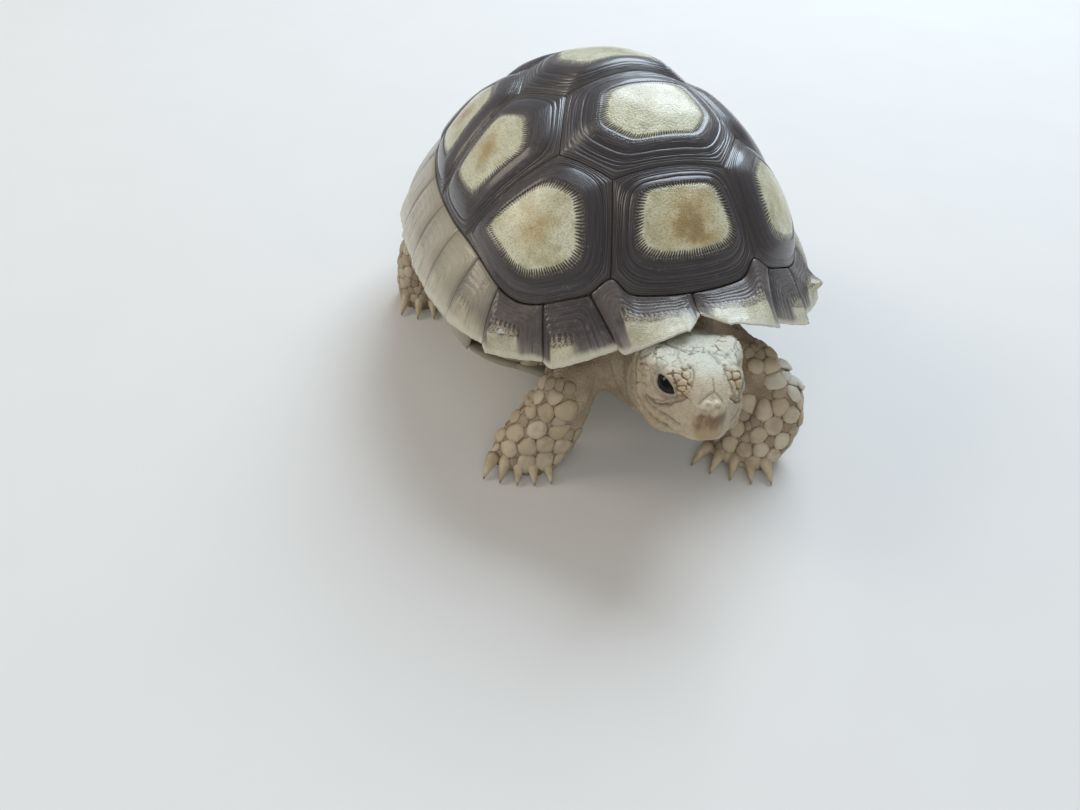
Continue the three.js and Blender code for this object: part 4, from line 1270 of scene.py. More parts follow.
def sculptHead(points, normals):
    # shields, fullness, mouth, folds, nostrils and lids; gives the moved points and the skin's marks
    local = toHead(points)
    outward = normals @ headAxes
    marks = {key: np.zeros(len(points)) for key in skinMarks}
    y, z = local[:, 1], local[:, 2]
    border, bead = shieldBorders(local, marks)
    strong = scoreStrength(local, bead)
    line = np.exp(-((border / blend(0.09, 0.13, bead)) ** 2))
    marks["scored"] = strong
    lift = 0.07 * (1 - np.exp(-border / 0.35)) * strong - 0.13 * line * strong
    rounded = 1 - (1 - np.clip(border / 0.42, 0, 1)) ** 2
    beadRise = bead * (0.4 * rounded - 0.16)
    lift += beadRise
    for left, right, size, out in fullness:
        for side, at, rise in zip((1, -1), (left, right), out):
            bulgeAway = np.linalg.norm(local - np.array(at) * [side, 1, 1], axis=1)
            lift += rise * np.exp(-((bulgeAway / size) ** 2))
    split = np.min([lineAway(local[:, :2], first, last) for first, last in fissure], axis=0)
    groove = np.exp(-((split / 0.095) ** 2)) * smoothStep(z, 0.2, 0.8)
    lift -= 0.14 * groove
    # painted shade in the snout's crack
    marks["crack"] = np.maximum(marks["crack"], groove * 0.9)
    lift = creaseSkin(local, cutMouth(local, lift, marks), marks)
    cheek = smoothStep(y, -7.5, -3.5) * (1 - smoothStep(y, 3, 6)) * smoothStep(-z, 0.2, 1.6)
    lift += 0.05 * cheek * np.sin((z + 0.35 * y) * 6.2 + 1.2 * np.sin(y * 0.9 + z))
    behind = smoothStep(y, 0, 3) * (1 - smoothStep(z, 2.8, 4.2))
    # the cheeks and the back of the head, which the material paints darker, partly as painted shade
    marks["cheek"] = np.clip(cheek + behind, 0, 1) * (1 - smoothStep(y, 7.5, 10))
    moved = local + outward * lift[:, None]
    for side in (1, -1):
        moved = openNostril(moved, outward, side, marks)
        moved = shapeLids(moved, side, bead, beadRise - 0.1 * line * strong, marks)
    return fromHead(moved), marks


def neckWrinkles(points):
    # loose skin in uneven rings round the neck and the roots of the limbs
    local = toHead(points)
    reach = smoothStep(local[:, 1], 7, 9.5) * (1 - smoothStep(points[:, 1], -19, -13))
    turn = np.arctan2(local[:, 2], local[:, 0])
    rings = np.sin(local[:, 1] * 2.9 + 0.9 * np.sin(turn * 2) + 0.5 * np.sin(turn * 5 + 1))
    return reach * 0.22 * rings


def tuckUnderClaws(points):
    # the skin's own toe tips are drawn back inside the horn of the claws
    for foot in feet.values():
        straight = {**foot, "splay": claw["toeSplay"], "reach": foot["reach"] - foot["longer"]}
        best = np.full(len(points), 2.2)
        for (start, end), (root, tip) in zip(clawLines(straight), clawLines(foot)):
            share = (points - start) @ (end - start) / np.sum((end - start) ** 2)
            t = np.clip(share, 0, 1)[:, None]
            axis = clawPoint(start, end, t)
            away = np.linalg.norm(points - axis, axis=1) + 0.6 * t[:, 0]
            chosen = (share > 0.25) & (share < 1.6) & (away < best)
            best = np.where(chosen, -1, best)
            back = 0.25 + (t[chosen] - 0.25) * 0.45
            points[chosen] = clawPoint(root, tip, back) + (points[chosen] - axis[chosen]) * 0.28
    return points


def fillFlanks(points):
    # the flanks swell against the inside of the bridge, and stop over the plastron
    x, y, z = np.abs(points[:, 0]), points[:, 1], points[:, 2]
    beside = smoothStep(x, 14, 22) * smoothStep(y, -23, -16)
    beside *= (1 - smoothStep(y, 18, 27)) * (1 - smoothStep(z, 8, 14))
    points[:, 0] += np.sign(points[:, 0]) * skin["flank"] * beside
    inside = plastronPoint(points[:, :2])[:, 2] + plastron["thickness"] + 0.2
    low = np.maximum(z - 2.4 * beside * (1 - smoothStep(z, -2, 4)), inside)
    points[:, 2] = np.minimum(points[:, 2], np.where(beside > 0, low, 99))
    return points


def makeSkin(material):
    mesh = applied(fleshMesh(), "REMESH", mode="VOXEL", voxel_size=skin["voxel"] * mm)
    mesh = smoothed(mesh, skin["smoothing"])
    points = toShell(readPoints(mesh))
    mesh = applied(mesh, "DECIMATE", points[:, 2] > skin["hiddenLevel"], ratio=skin["hiddenShare"])
    points = toShell(readPoints(mesh))
    local = toHead(points)
    neck = (local[:, 1] > 7.5) & (local[:, 2] < 2) & (np.abs(local[:, 0]) < 10) & (points[:, 1] < -24)
    mesh = applied(mesh, "SMOOTH", neck, factor=0.7, iterations=14)
    for rear, passes in ((15, 3), (8.6, 3)):
        points = toShell(readPoints(mesh))
        local = toHead(points)
        near = (local[:, 1] < rear) & (np.abs(local[:, 0]) < 10) & (np.abs(local[:, 2]) < 10.5)
        mesh = refine(mesh, near & (points[:, 1] < -21), passes)
    points, normals = toShell(readPoints(mesh)), readNormals(mesh)
    local = toHead(points)
    onHead = (local[:, 1] < 10) & (np.abs(local[:, 0]) < 10) & (np.abs(local[:, 2]) < 10.5)
    depth = blend(skin["headDepth"], skin["coatDepth"], smoothStep(local[:, 1], 7, 10))
    depth = np.where(onHead, depth, skin["coatDepth"])
    points = points - normals * (skin["swell"] + depth)[:, None]
    points += normals * neckWrinkles(points)[:, None]
    chosen = np.flatnonzero(onHead)
    moved, found = sculptHead(points[chosen], normals[chosen])
    points[chosen] = moved
    marks = {key: np.zeros(len(points)) for key in found}
    for key, value in found.items():
        marks[key][chosen] = value
    marks["onHead"] = np.where(onHead, 1 - smoothStep(local[:, 1], 6.5, 9.5), 0)
    # how high on the head each point is; the material paints the top paler with it, partly as a painted
    # highlight
    marks["up"] = smoothStep(local[:, 2], 2.2, 4.5) * marks["onHead"]
    marks["beakTurn"] = np.arctan2(local[:, 0], 4 - local[:, 1]) * 10
    throat = smoothStep(local[:, 1], 2, 9) * smoothStep(-local[:, 2], -3, 4)
    throat *= smoothStep(-points[:, 1], 27.5, 31)
    points[:, 2] -= skin["throat"] * throat * (points[:, 1] < -27) * (np.abs(local[:, 0]) < 10)
    # the loose skin under the neck passes inside the gular plate
    beneath = (np.abs(points[:, 0]) < 8) & (points[:, 1] > -29) & (points[:, 1] < -15)
    lip = blend(-7, -3.7, smoothStep(points[:, 1], -29, -26.8))
    points[beneath, 2] = np.maximum(points[beneath, 2], lip[beneath])
    floorLevel = -shellShift[2]
    sole = points[:, 2] < floorLevel + skin["coatDepth"] + 0.35
    points[sole, 2] = floorLevel + 0.02
    points = fillFlanks(tuckUnderClaws(points))
    writePoints(mesh, toWorld(points))
    for key, value in marks.items():
        writeAttribute(mesh, key, value)
    piece = finishPiece(mesh, "skin", material, skin["nodes"])
    print("skin", len(mesh.vertices))
    return piece


skinColors = {
    "sand": (0.52, 0.43, 0.29),
    "pale": (0.66, 0.60, 0.46),
    "clay": (0.30, 0.22, 0.13),
    "hide": (0.46, 0.37, 0.26),
    "hideDark": (0.32, 0.24, 0.16),
    # the darker colour of the head's lower sides, partly their own and partly painted shade
    "cheek": (0.43, 0.36, 0.25),
    "umber": (0.12, 0.075, 0.045),
    # the painted shade in folds, cracks and holes
    "crease": (0.045, 0.03, 0.02),
    "horn": (0.165, 0.085, 0.032),
    "hornPale": (0.42, 0.30, 0.16),
    "lid": (0.11, 0.09, 0.07),
    "tan": (0.50, 0.38, 0.23),
    # the paler, cooler colour of the head's top, partly its own and partly a painted highlight
    "crown": (0.64, 0.66, 0.56),
    "rose": (0.30, 0.205, 0.145),
    "rust": (0.27, 0.17, 0.15),
}


def crackle(tree, place, size):
    # how far each place is from the border of its own small cell, with the cells a little bent
    drift = addNode(tree, "ShaderNodeTexNoise", {"Vector": place, "Scale": size * 0.9, "Detail": 2.0})
    sockets = {0: drift.outputs["Color"], "Scale": 0.25 / size}
    offset = addNode(tree, "ShaderNodeVectorMath", sockets, operation="SCALE").outputs[0]
    bent = addNode(tree, "ShaderNodeVectorMath", {0: place, 1: offset}, operation="ADD").outputs[0]
    return cells(tree, bent, float(size), "DISTANCE_TO_EDGE")


def skinMaterial():
    material, tree = newMaterial("tortoise_skin")
    color = skinColors
    place = addNode(tree, "ShaderNodeTexCoord").outputs["Object"]
    crack, scored, border, horn, lid, moist, shield, *others = attributes(tree, *skinMarks)
    bead, stain, cheek, margin = others
    onHead, up, beakEdge, beakPale = attributes(tree, "onHead", "up", "beakEdge", "beakPale")
    # the lines along the scales' borders are painted dark, as shade in their grooves, and join the creases'
    # painted shade
    scored = times(tree, scored, level(tree, border, 0.15, 0.05))
    # where the beads meet, for the painted shade in their creases
    beadCreaseShade = times(tree, bead, level(tree, border, 0.2, 0.04))
    crack = calc(tree, "MAXIMUM", crack, scored)
    clouds = noise(tree, place, 220, 4, 0.6)
    fine = noise(tree, place, 2400, 3, 0.6)
    creases = crackle(tree, place, 2300)
    wrinkles = crackle(tree, place, 1150)
    body = mixColor(tree, level(tree, clouds, 0.35, 0.65), color["hide"], color["hideDark"])
    body = tint(tree, level(tree, fine, 0.5, 0.72), 0.12, body, color["umber"])
    body = tint(tree, level(tree, creases, 0.16, 0.02), 0.2, body, color["umber"])
    face = mixColor(tree, level(tree, clouds, 0.4, 0.68), color["pale"], color["sand"])
    face = tint(tree, shield, 0.25, face, color["sand"])
    # painted light: the top of the head is tinted paler and cooler, partly its own colour and partly a
    # painted highlight, and the sides below it darker, partly painted shade
    face = tint(tree, up, 0.8, face, color["crown"])
    lower = times(tree, minus(tree, 1.0, up), 0.8)
    face = mixColor(tree, lower, face, color["cheek"])
    face = tint(tree, level(tree, fine, 0.5, 0.72), 0.35, face, color["clay"])
    smooth = calc(tree, "MAXIMUM", calc(tree, "MAXIMUM", bead, lid), calc(tree, "MAXIMUM", horn, moist))
    matt = minus(tree, 1.0, smooth)
    patches = times(tree, level(tree, clouds, 0.35, 0.6), matt)
    scratch = times(tree, level(tree, wrinkles, 0.045, 0.0), patches)
    face = tint(tree, scratch, 0.24, face, color["umber"])
    # the cheeks and the back of the head are painted darker, partly their own colour and partly painted
    # shade
    face = tint(tree, cheek, 0.35, face, color["clay"])
    face = tint(tree, bead, 0.45, face, color["tan"])
    # painted shade in the creases between the beads
    face = tint(tree, beadCreaseShade, 0.7, face, color["horn"])
    face = tint(tree, lid, 0.8, face, color["lid"])
    face = tint(tree, margin, 0.4, face, color["pale"])
    blush = level(tree, noise(tree, place, 900, 3), 0.4, 0.62)
    noseColor = mixColor(tree, blush, color["rose"], color["pale"])
    face = tint(tree, moist, 0.7, face, noseColor)
    face = tint(tree, stain, 0.45, face, color["rust"])
    turn = addNode(tree, "ShaderNodeCombineXYZ", {0: attribute(tree, "beakTurn")}).outputs[0]
    streaks = noise(tree, turn, 1.6, 4, 0.7)
    mottle = noise(tree, place, 700, 4, 0.65)
    mixed = plus(tree, times(tree, streaks, 0.3), times(tree, mottle, 0.7))
    beak = ramp(tree, mixed, [(0.38, color["umber"]), (0.52, color["horn"]), (0.72, color["hornPale"])])
    beak = tint(tree, beakPale, 0.75, beak, color["hornPale"])
    face = tint(tree, beakEdge, 0.8, face, mixColor(tree, streaks, color["hornPale"], color["pale"]))
    face = tint(tree, horn, 0.86, face, beak)
    # painted shade in the folds, cracks, scale borders, mouth and nostrils
    face = tint(tree, crack, 0.8, face, color["crease"])
    final = mixColor(tree, onHead, body, face)
    wet = calc(tree, "MAXIMUM", calc(tree, "MAXIMUM", horn, moist), times(tree, lid, 0.6))
    rough = minus(tree, 0.62, times(tree, wet, 0.3))
    offHead = minus(tree, 0.6, times(tree, onHead, 0.6))
    pebble = times(tree, level(tree, creases, 0.0, 0.25), offHead)
    small = times(tree, level(tree, creases, 0.0, 0.3), times(tree, onHead, times(tree, matt, 0.28)))
    scored = times(tree, scratch, times(tree, onHead, -0.18))
    pebble = plus(tree, pebble, plus(tree, small, scored))
    height = plus(tree, times(tree, pebble, 0.00022), times(tree, fine, 0.00009))
    height = plus(tree, height, times(tree, times(tree, streaks, horn), 0.00012))
    normal = bump(tree, height, 0.8)
    shade(tree, Base_Color=final, Roughness=rough, Normal=normal, Specular_IOR_Level=0.4)
    return material


def makeEyes(material):
    for word, side in (("left", 1), ("right", -1)):
        bm = bmesh.new()
        bmesh.ops.create_uvsphere(bm, u_segments=40, v_segments=24, radius=1)
        mesh = bpy.data.meshes.new("eye")
        bm.to_mesh(mesh)
        bm.free()
        way = unit(readPoints(mesh))
        gaze = headAxes @ eyeFrame(side)[0]
        face = way @ gaze
        bulge = 0.12 * smoothStep(face, 0.78, 1)
        writePoints(mesh, toWorld(eyeCentre(side) + way * (eyes["radius"] + bulge)[:, None]))
        writeAttribute(mesh, "fromGaze", np.degrees(np.arccos(np.clip(face, -1, 1))))
        finishPiece(mesh, f"eye_{word}_ball", material, [f"eye_{word}"])
    print("eyes")


def eyeMaterial():
    material, tree = newMaterial("eye_dark")
    place = addNode(tree, "ShaderNodeTexCoord").outputs["Object"]
    turned = attribute(tree, "fromGaze")
    fibres = noise(tree, place, 2600, 3, 0.7)
    iris = mixColor(tree, fibres, (0.006, 0.004, 0.003), (0.022, 0.014, 0.009))
    color = mixColor(tree, level(tree, turned, 17, 20), (0.003, 0.003, 0.004), iris)
    color = mixColor(tree, level(tree, turned, 42, 48), color, (0.010, 0.008, 0.007))
    shade(tree, Base_Color=color, Roughness=0.06, Specular_IOR_Level=0.22)
    return material


feet = {
    "front_left_leg": {
        "at": (14.9, -32.9),
        "across": (0.81, -0.59),
        "toes": (-0.59, -0.81),
        "claws": 5,
        "splay": 0.55,
        "width": 5.6,
        "root": 2.1,
        "reach": 6.0,
        "longer": 0.6,
    },
    "front_right_leg": {
        "at": (-23.2, -23.7),
        "across": (0.93, -0.37),
        "toes": (-0.37, -0.93),
        "claws": 5,
        "splay": 0.4,
        "width": 5.1,
        "root": 2,
        "reach": 5.2,
        "longer": 0.4,
    },
    "hind_left_leg": {
        "at": (25.4, 37.4),
        "across": (0.97, 0.24),
        "toes": (0.24, -0.97),
        "claws": 4,
        "splay": 0.3,
        "width": 4.2,
        "root": 4.2,
        "reach": 7.8,
        "longer": 0,
    },
    "hind_right_leg": {
        "at": (-26.8, 30.7),
        "across": (0.97, -0.24),
        "toes": (-0.24, -0.97),
        "claws": 4,
        "splay": 0.3,
        "width": 4.2,
        "root": 4.2,
        "reach": 7.8,
        "longer": 0,
    },
}
claw = {
    "radius": 1.32,
    "bend": 0.9,
    "rings": 9,
    "around": 12,
    "rootLevel": 2.2,  # over the floor
    "tipLevel": 0.25,
    "toeSplay": 0.3,
}


def clawLines(foot):
    # the root and tip of each claw of a foot, in the shell's frame
    floorLevel = -shellShift[2]
    across, toes = np.array([*foot["across"], 0]), np.array([*foot["toes"], 0])
    for i in range(foot["claws"]):
        share = 2 * i / (foot["claws"] - 1) - 1
        root = np.array([*foot["at"], floorLevel + claw["rootLevel"]])
        root += across * share * foot["width"] * 0.86 + toes * foot["root"] * (1 - 0.35 * share**2)
        spread = unit(toes + across * foot["splay"] * share)
        tip = root + spread * (foot["reach"] - foot["root"] * 0.6)
        tip[2] = floorLevel + claw["tipLevel"]
        yield root, tip


def clawPoint(root, tip, t):
    middle = (root + tip) / 2 + [0, 0, claw["bend"]]
    return (1 - t) ** 2 * root + 2 * t * (1 - t) * middle + t**2 * tip


def ringEdges(bm, ring):
    return [edge for edge in bm.edges if edge.verts[0] in ring and edge.verts[1] in ring]


def makeClaws(material):
    for leg, foot in feet.items():
        bm = bmesh.new()
        tipShare = bm.verts.layers.float.new("toTip")
        for root, tip in clawLines(foot):
            middle = (root + tip) / 2 + [0, 0, claw["bend"]]
            ring = bmesh.ops.create_circle(bm, cap_ends=True, segments=claw["around"], radius=1)["verts"]
            flat = [vert.co.copy() for vert in ring]
            for k in range(claw["rings"]):
                t = k / (claw["rings"] - 1)
                if k:
                    made = bmesh.ops.extrude_edge_only(bm, edges=ringEdges(bm, ring))["geom"]
                    fresh = [part for part in made if isinstance(part, bmesh.types.BMVert)]
                    order = {tuple(round(c, 9) for c in old.co): i for i, old in enumerate(ring)}
                    ring = sorted(fresh, key=lambda vert: order[tuple(round(c, 9) for c in vert.co)])
                centre = Vector(clawPoint(root, tip, t))
                heading = Vector(2 * (1 - t) * (middle - root) + 2 * t * (tip - middle)).normalized()
                turn = heading.to_track_quat("Z", "Y").to_matrix()
                size = claw["radius"] * (1 - 0.93 * t**1.25)
                for vert, start in zip(ring, flat):
                    vert.co = centre + turn @ (start * size)
                    vert[tipShare] = t
            bmesh.ops.contextual_create(bm, geom=ringEdges(bm, ring))
        bmesh.ops.recalc_face_normals(bm, faces=bm.faces)
        mesh = newMesh(bm, leg)
        writePoints(mesh, toWorld(readPoints(mesh)))
        finishPiece(mesh, leg.replace("leg", "claws"), material)
    print("claws")


def clawMaterial():
    material, tree = newMaterial("claw_horn")
    place = addNode(tree, "ShaderNodeTexCoord").outputs["Object"]
    toTip = attribute(tree, "toTip")
    clouds = noise(tree, place, 500, 4, 0.6)
    grain = noise(tree, place, 2600, 3, 0.6)
    color = mixColor(tree, level(tree, clouds, 0.35, 0.7), (0.42, 0.33, 0.21), (0.58, 0.49, 0.34))
    color = tint(tree, level(tree, toTip, 0.35, 0.0), 0.5, color, (0.18, 0.12, 0.07))
    color = mixColor(tree, level(tree, toTip, 0.82, 1.0), color, (0.25, 0.17, 0.1))
    height = times(tree, grain, 0.00012)
    shade(tree, Base_Color=color, Roughness=0.42, Normal=bump(tree, height, 0.6), Specular_IOR_Level=0.45)
    return material


# the scales of the limbs and the tail
limbs = {
    "front_left_leg": {
        "path": [
            *((8.6, -16.5, 2.6), (16.1, -25.5, -1.9), (19.9, -30.2, -6.3)),
            *((19.6, -32.4, -11), (16.2, -33, -15.6), (14.8, -33, -19)),
        ],
        "face": (0.55, -0.8, 0.2),
        "bare": ((-0.9, -0.4, 0.2), 0.62, 0.6),
        "spread": 0.25,
        "coarse": 1.5,
        "fine": 0.62,
        "coarseFrom": 0.34,
        "reach": 9,
        "elbow": (23, -31.2, -2),  # where pale scales overlap like tiles
    },
    "front_right_leg": {
        "path": [
            *((-6.6, -16, 2.6), (-14, -22.9, -1), (-16, -23.5, -6.4)),
            *((-19, -23.8, -12), (-22.4, -23.8, -16.2), (-23.6, -23.8, -19)),
        ],
        "face": (-0.86, -0.5, 0.1),
        "bare": ((0.8, -0.55, 0.2), 0.25, 0.62),  # the side with no scales, how narrow, how far down
        "spread": 0.6,
        "coarse": 1.5,
        "fine": 0.62,
        "coarseFrom": 0.34,
        "reach": 8.5,
    },
    "hind_left_leg": {
        "path": [(11, 24, 3.6), (18, 30.4, 1.9), (24.2, 35.6, -4.9), (25.6, 37.2, -10.6), (25.4, 37.4, -19)],
        "face": (0.5, 0.5, 0.3),
        "spread": 0.25,
        "coarse": 1.15,
        "fine": 0.75,
        "coarseFrom": 0.5,
        "reach": 9.5,
    },
    "hind_right_leg": {
        "path": [
            *((-11, 21, 3.6), (-18.6, 27.4, 2.4), (-25.4, 30.4, -4.6)),
            *((-27, 31, -10.6), (-26.8, 30.8, -19)),
        ],
        "face": (-0.5, 0.5, 0.3),
        "spread": 0.25,
        "coarse": 1.15,
        "fine": 0.75,
        "coarseFrom": 0.5,
        "reach": 9.5,
    },
    "tail": {
        "path": [(0, 36.5, 1.2), (0.2, 42, -0.4), (1, 46.4, -3.4), (2.4, 48.6, -8)],
        "face": (0, 0, 1),
        "spread": 0.25,
        "coarse": 0.85,
        "fine": 0.62,
        "coarseFrom": 0.2,
        "reach": 5.5,
    },
}
scale = {
    "crease": -0.2,  # the gap between neighbours, mm
    "filler": 0.55,  # the small scales between the large ones
    "height": 0.48,  # of a scale over the skin, as a share of its reach
    "around": 12,
    "corner": 7,  # how square its outline is where neighbours press on it
    # how far out and how high each ring of the template stands, from the top to the underside
    "out": [0, 0.55, 0.9, 1, 0.8, 0],
    "up": [1, 0.94, 0.62, 0.02, -0.4, -0.5],
    "patch": 0.0015,
}


def alongLimb(points, path):
    # each point's share of the way down a limb, the way on from there and its place round the limb
    path = np.array(path, float)
    steps = np.linalg.norm(np.diff(path, axis=0), axis=1)
    starts = np.r_[0, np.cumsum(steps)]
    best = np.full(len(points), 1e9)
    share = np.zeros(len(points))
    heading = np.zeros((len(points), 3))
    axis = np.zeros((len(points), 3))
    for i, step in enumerate(steps):
        way = (path[i + 1] - path[i]) / step
        t = np.clip((points - path[i]) @ way, 0, step)
        foot = path[i] + t[:, None] * way
        away = np.linalg.norm(points - foot, axis=1)
        nearer = away < best
        best = np.where(nearer, away, best)
        share = np.where(nearer, (starts[i] + t) / starts[-1], share)
        heading[nearer] = way
        axis[nearer] = foot[nearer]
    return share, heading, axis, best


def scaleReach(limb, normals, share, points):
    # the reach of the scales from place to place on a limb
    facing = normals @ unit(limb["face"])
    lower = limb["spread"] * smoothStep(share, 0.4, 0.8)
    big = smoothStep(facing + lower, 0.2, 0.62)
    big *= smoothStep(share, limb["coarseFrom"], limb["coarseFrom"] + 0.12)
    floorAway = points[:, 2] + shellShift[2]
    big *= blend(0.55, 1, smoothStep(floorAway, 1.5, 5))
    return blend(limb["fine"], limb["coarse"], big)


def scaleTemplate():
    bm = bmesh.new()
    bm.loops.layers.uv.new("OFBake")
    bmesh.ops.create_uvsphere(bm, u_segments=scale["around"], v_segments=len(scale["out"]) - 1, radius=1)
    return newMesh(bm, "scale")


def scaleCoat(name, material, tree, roots, normals, reach, heading, tiled, rootMap, seed):
    # one joined mesh of domed scales, each fitted between its neighbours and laid on the skin
    dice = np.random.default_rng(seed)
    template = scaleTemplate()
    unitSphere = readPoints(template)
    turn = np.arctan2(unitSphere[:, 1], unitSphere[:, 0])
    fromTop = 0.5 - np.arcsin(np.clip(unitSphere[:, 2], -1, 1)) / math.pi
    ring = np.rint(fromTop * (len(scale["out"]) - 1)).astype(int)
    out, up = np.array(scale["out"])[ring], np.array(scale["up"])[ring]
    lie = unit(heading - normals * np.sum(heading * normals, axis=1)[:, None])
    across = np.cross(normals, lie)
    points = np.empty((len(roots), len(turn), 3))
    for i, root in enumerate(roots):
        away = roots - root
        near = np.sum(away**2, axis=1) < (1.5 * (reach + reach[i])) ** 2
        near[i] = False
        a, b = away[near] @ lie[i], away[near] @ across[i]
        far = np.hypot(a, b)
        border = np.maximum(far * reach[i] / (reach[i] + reach[near]) - scale["crease"] / 2, 0.15)
        toward = np.cos(turn[:, None] - np.arctan2(b, a)[None]) / border[None]
        power = scale["corner"]
        size = np.sum(np.maximum(toward, 0) ** power, axis=1) + (1 / (1.8 * reach[i])) ** power
        size = size ** (-1 / power)
        lean = np.cos(turn)
        size *= 1 + 0.1 * np.maximum(lean, 0)
        side = (out * size)[:, None] * (lean[:, None] * lie[i] + np.sin(turn)[:, None] * across[i])
        raised = 0.16 + 0.7 * tiled[i]
        high = (up + raised * lean * out * (up > 0)) * scale["height"] * reach[i] * dice.uniform(0.8, 1.2)
        for k, (offset, rise) in enumerate(zip(side, high)):
            spot, normal, _, _ = tree.find_nearest(Vector(root + offset))
            points[i, k] = np.array(spot) + np.array(normal) * rise
    points[:, :, 2] = np.maximum(points[:, :, 2], -shellShift[2])
    holder = addObject("holder", template)
    copies = holder.modifiers.new("copies", "ARRAY")
    copies.count = len(roots)
    copies.use_relative_offset = False
    copies.use_constant_offset = True
    copies.constant_offset_displace = (0, 0, 3)
    mesh = bpy.data.meshes.new_from_object(holder.evaluated_get(bpy.context.evaluated_depsgraph_get()))
    bpy.data.objects.remove(holder)
    writePoints(mesh, toWorld(points.reshape(-1, 3)))
    writeAttribute(mesh, "tone", np.repeat(dice.random(len(roots)), len(turn)))
    writeAttribute(mesh, "rise", np.tile(up, len(roots)))
    writeAttribute(mesh, "reach", np.repeat(reach, len(turn)))
    writeAttribute(mesh, "tiled", np.repeat(tiled, len(turn)))
    patch = np.stack([np.cos(turn) * out, np.sin(turn) * out], axis=1) * scale["patch"]
    atVert = (rootMap[:, None] + patch[None]).reshape(-1, 2)
    corners = np.zeros(len(mesh.loops), np.int32)
    mesh.loops.foreach_get("vertex_index", corners)
    mesh.uv_layers["OFBake"].data.foreach_set("uv", atVert[corners].astype(np.float32).ravel())
    finishPiece(mesh, name, material)
    print(name, len(roots), "scales")


def makeScales(skinPiece, material):
    mesh = skinPiece.data
    points, normals = toShell(readPoints(mesh)), readNormals(mesh)
    bm = bmesh.new()
    bm.from_mesh(mesh)
    for vert, point in zip(bm.verts, points):
        vert.co = point
    tree = BVHTree.FromBMesh(bm)
    bm.free()
    for seed, (name, limb) in enumerate(limbs.items()):
        share, heading, axis, away = alongLimb(points, limb["path"])
        floorAway = points[:, 2] + shellShift[2]
        near = (away < limb["reach"]) & (share > 0.14) & (floorAway > 0.5) & (points[:, 2] < 9)
        if name in feet:
            for root, tip in clawLines(feet[name]):
                near &= np.linalg.norm(points - blend(root, tip, 0.55), axis=1) > 1.9
        chosen = np.flatnonzero(near)
        reach = scaleReach(limb, normals[chosen], share[chosen], points[chosen])
        bare = (name.startswith("front")) & (reach < limb["fine"] + 0.06) & (share[chosen] < 0.72)
        if "bare" in limb:
            side, narrow, until = limb["bare"]
            bare |= (normals[chosen] @ unit(side) > narrow) & (share[chosen] < until)
        chosen, reach = chosen[~bare], reach[~bare]
        picked = scatter(points[chosen], reach, 20 + seed)
        taken = list(zip(points[chosen[picked]], reach[picked]))
        small = np.maximum(reach * scale["filler"], limb["fine"])
        filled = scatter(points[chosen], small, 40 + seed, taken)
        reach = np.r_[reach[picked], small[filled]]
        chosen = np.r_[chosen[picked], chosen[filled]]
        side = unit(np.cross(heading[chosen], limb["face"]))
        outward = points[chosen] - axis[chosen]
        around = np.arctan2(np.sum(outward * side, axis=1), outward @ unit(limb["face"])) / (2 * math.pi)
        rootMap = np.stack([0.5 + 0.96 * around, 0.02 + 0.96 * share[chosen]], axis=1)
        fromElbow = np.linalg.norm(points[chosen] - limb.get("elbow", (0, 0, 99)), axis=1)
        tiled = 1 - smoothStep(fromElbow, 2.2, 4.6)
        roots, facing, lie = points[chosen], normals[chosen], heading[chosen]
        title = name.replace("leg", "scales")
        scaleCoat(title, material, tree, roots, facing, reach, lie, tiled, rootMap, seed)


def scaleMaterial():
    material, tree = newMaterial("leg_scales")
    place = addNode(tree, "ShaderNodeTexCoord").outputs["Object"]
    tone, rise, reach = attributes(tree, "tone", "rise", "reach")
    clouds = noise(tree, place, 260, 4, 0.6)
    fine = noise(tree, place, 2600, 4, 0.65)
    large = level(tree, reach, 0.7, 1.3)
    warm = mixColor(tree, tone, (0.42, 0.33, 0.21), (0.57, 0.49, 0.36))
    dull = mixColor(tree, tone, (0.25, 0.19, 0.125), (0.38, 0.31, 0.22))
    color = mixColor(tree, large, dull, warm)
    color = tint(tree, level(tree, clouds, 0.45, 0.7), 0.5, color, (0.22, 0.15, 0.09))
    color = tint(tree, level(tree, fine, 0.5, 0.75), 0.3, color, (0.62, 0.56, 0.44))
    # painted shade: each scale darkens towards its foot, in the creases between neighbours
    color = tint(tree, level(tree, rise, 0.4, -0.1), 0.75, color, (0.12, 0.08, 0.05))
    washed = times(tree, attribute(tree, "tiled"), level(tree, rise, -0.2, 0.5))
    color = tint(tree, washed, 0.75, color, (0.66, 0.68, 0.6))
    height = times(tree, fine, 0.0001)
    rough = plus(tree, 0.42, times(tree, fine, 0.2))
    shade(tree, Base_Color=color, Roughness=rough, Normal=bump(tree, height, 0.7), Specular_IOR_Level=0.45)
    return material


camera = {
    "at": (-60.64, -122.26, 88.14),  # in the shell's own frame, mm
    "yaw": 0.39,
    "pitch": 0.72,
    "roll": 0.08,
    "lens": 28.23,
}


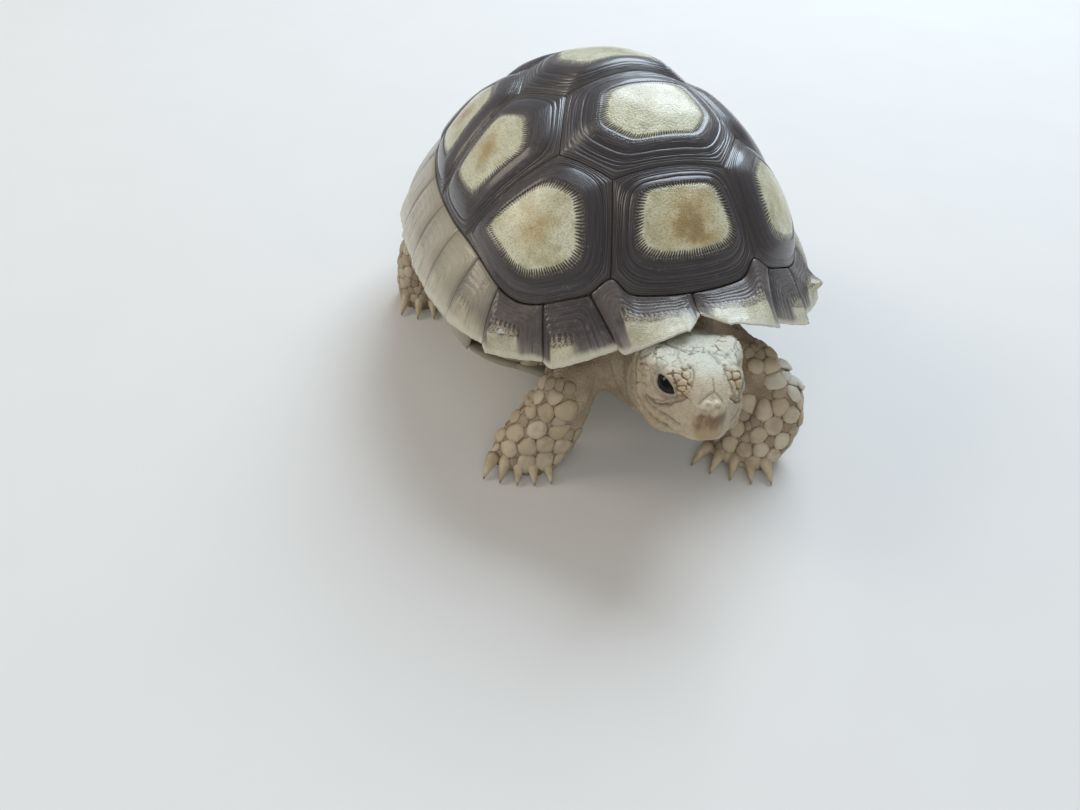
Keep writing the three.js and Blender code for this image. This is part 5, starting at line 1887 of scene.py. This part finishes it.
def makeCamera():
    yaw, pitch, roll = camera["yaw"], camera["pitch"], camera["roll"]
    forward = Vector((math.sin(yaw) * math.cos(pitch), math.cos(yaw) * math.cos(pitch), -math.sin(pitch)))
    right = Vector((math.cos(yaw), -math.sin(yaw), 0))
    up = right.cross(forward)
    rolledRight = right * math.cos(roll) + up * math.sin(roll)
    rolledUp = up * math.cos(roll) - right * math.sin(roll)
    data = bpy.data.cameras.new("camera")
    data.lens = camera["lens"]
    data.sensor_width = 36
    data.clip_start, data.clip_end = 0.005, 20
    made = bpy.data.objects.new("camera", data)
    turn = Matrix((rolledRight, rolledUp, -forward)).transposed().to_4x4()
    made.matrix_world = Matrix.Translation(toWorld(camera["at"])) @ turn
    bpy.context.scene.collection.objects.link(made)
    bpy.context.scene.camera = made


lights = [
    {"name": "window", "at": (0.35, 0.35, 0.62), "size": 0.5, "power": 6.2, "color": (0.76, 0.88, 1.0)},
    {"name": "lamp", "at": (-0.55, 0.25, 0.45), "size": 0.3, "power": 1.4, "color": (1.0, 0.88, 0.74)},
    {"name": "fill", "at": (-0.3, -0.6, 0.5), "size": 0.7, "power": 2.0, "color": (1.0, 0.97, 0.93)},
]


def makeStudio():
    for light in lights:
        data = bpy.data.lights.new(light["name"], "AREA")
        data.shape = "SQUARE"
        data.size = light["size"]
        data.energy = light["power"]
        data.color = light["color"]
        made = bpy.data.objects.new(light["name"], data)
        made.location = light["at"]
        made.rotation_euler = (-Vector(light["at"])).to_track_quat("-Z", "Y").to_euler()
        made.visible_glossy = light["name"] != "fill"
        bpy.context.scene.collection.objects.link(made)
    world = bpy.data.worlds.new("studio")
    world.use_nodes = True
    world.node_tree.nodes["Background"].inputs["Color"].default_value = (0.82, 0.86, 0.9, 1)
    world.node_tree.nodes["Background"].inputs["Strength"].default_value = 0.34
    bpy.context.scene.world = world
    bm = bmesh.new()
    bmesh.ops.create_grid(bm, x_segments=1, y_segments=1, size=4)
    mesh = bpy.data.meshes.new("floor")
    bm.to_mesh(mesh)
    bm.free()
    material, tree = newMaterial("floor_paint")
    speckle = noise(tree, addNode(tree, "ShaderNodeTexCoord").outputs["Object"], 40, 2)
    shade(tree, Base_Color=mixColor(tree, speckle, (0.68, 0.665, 0.64), (0.71, 0.695, 0.67)), Roughness=0.85)
    mesh.materials.append(material)
    floor = bpy.data.objects.new("floor", mesh)
    bpy.context.scene.collection.objects.link(floor)
    bpy.context.scene.view_settings.view_transform = "Standard"


makeCamera()
makeStudio()
makeCarapace(carapaceMaterial())
makeMarginals(marginalMaterial())
makePlastron(plastronMaterial())
skinPiece = makeSkin(skinMaterial())
makeScales(skinPiece, scaleMaterial())
makeEyes(eyeMaterial())
makeClaws(clawMaterial())
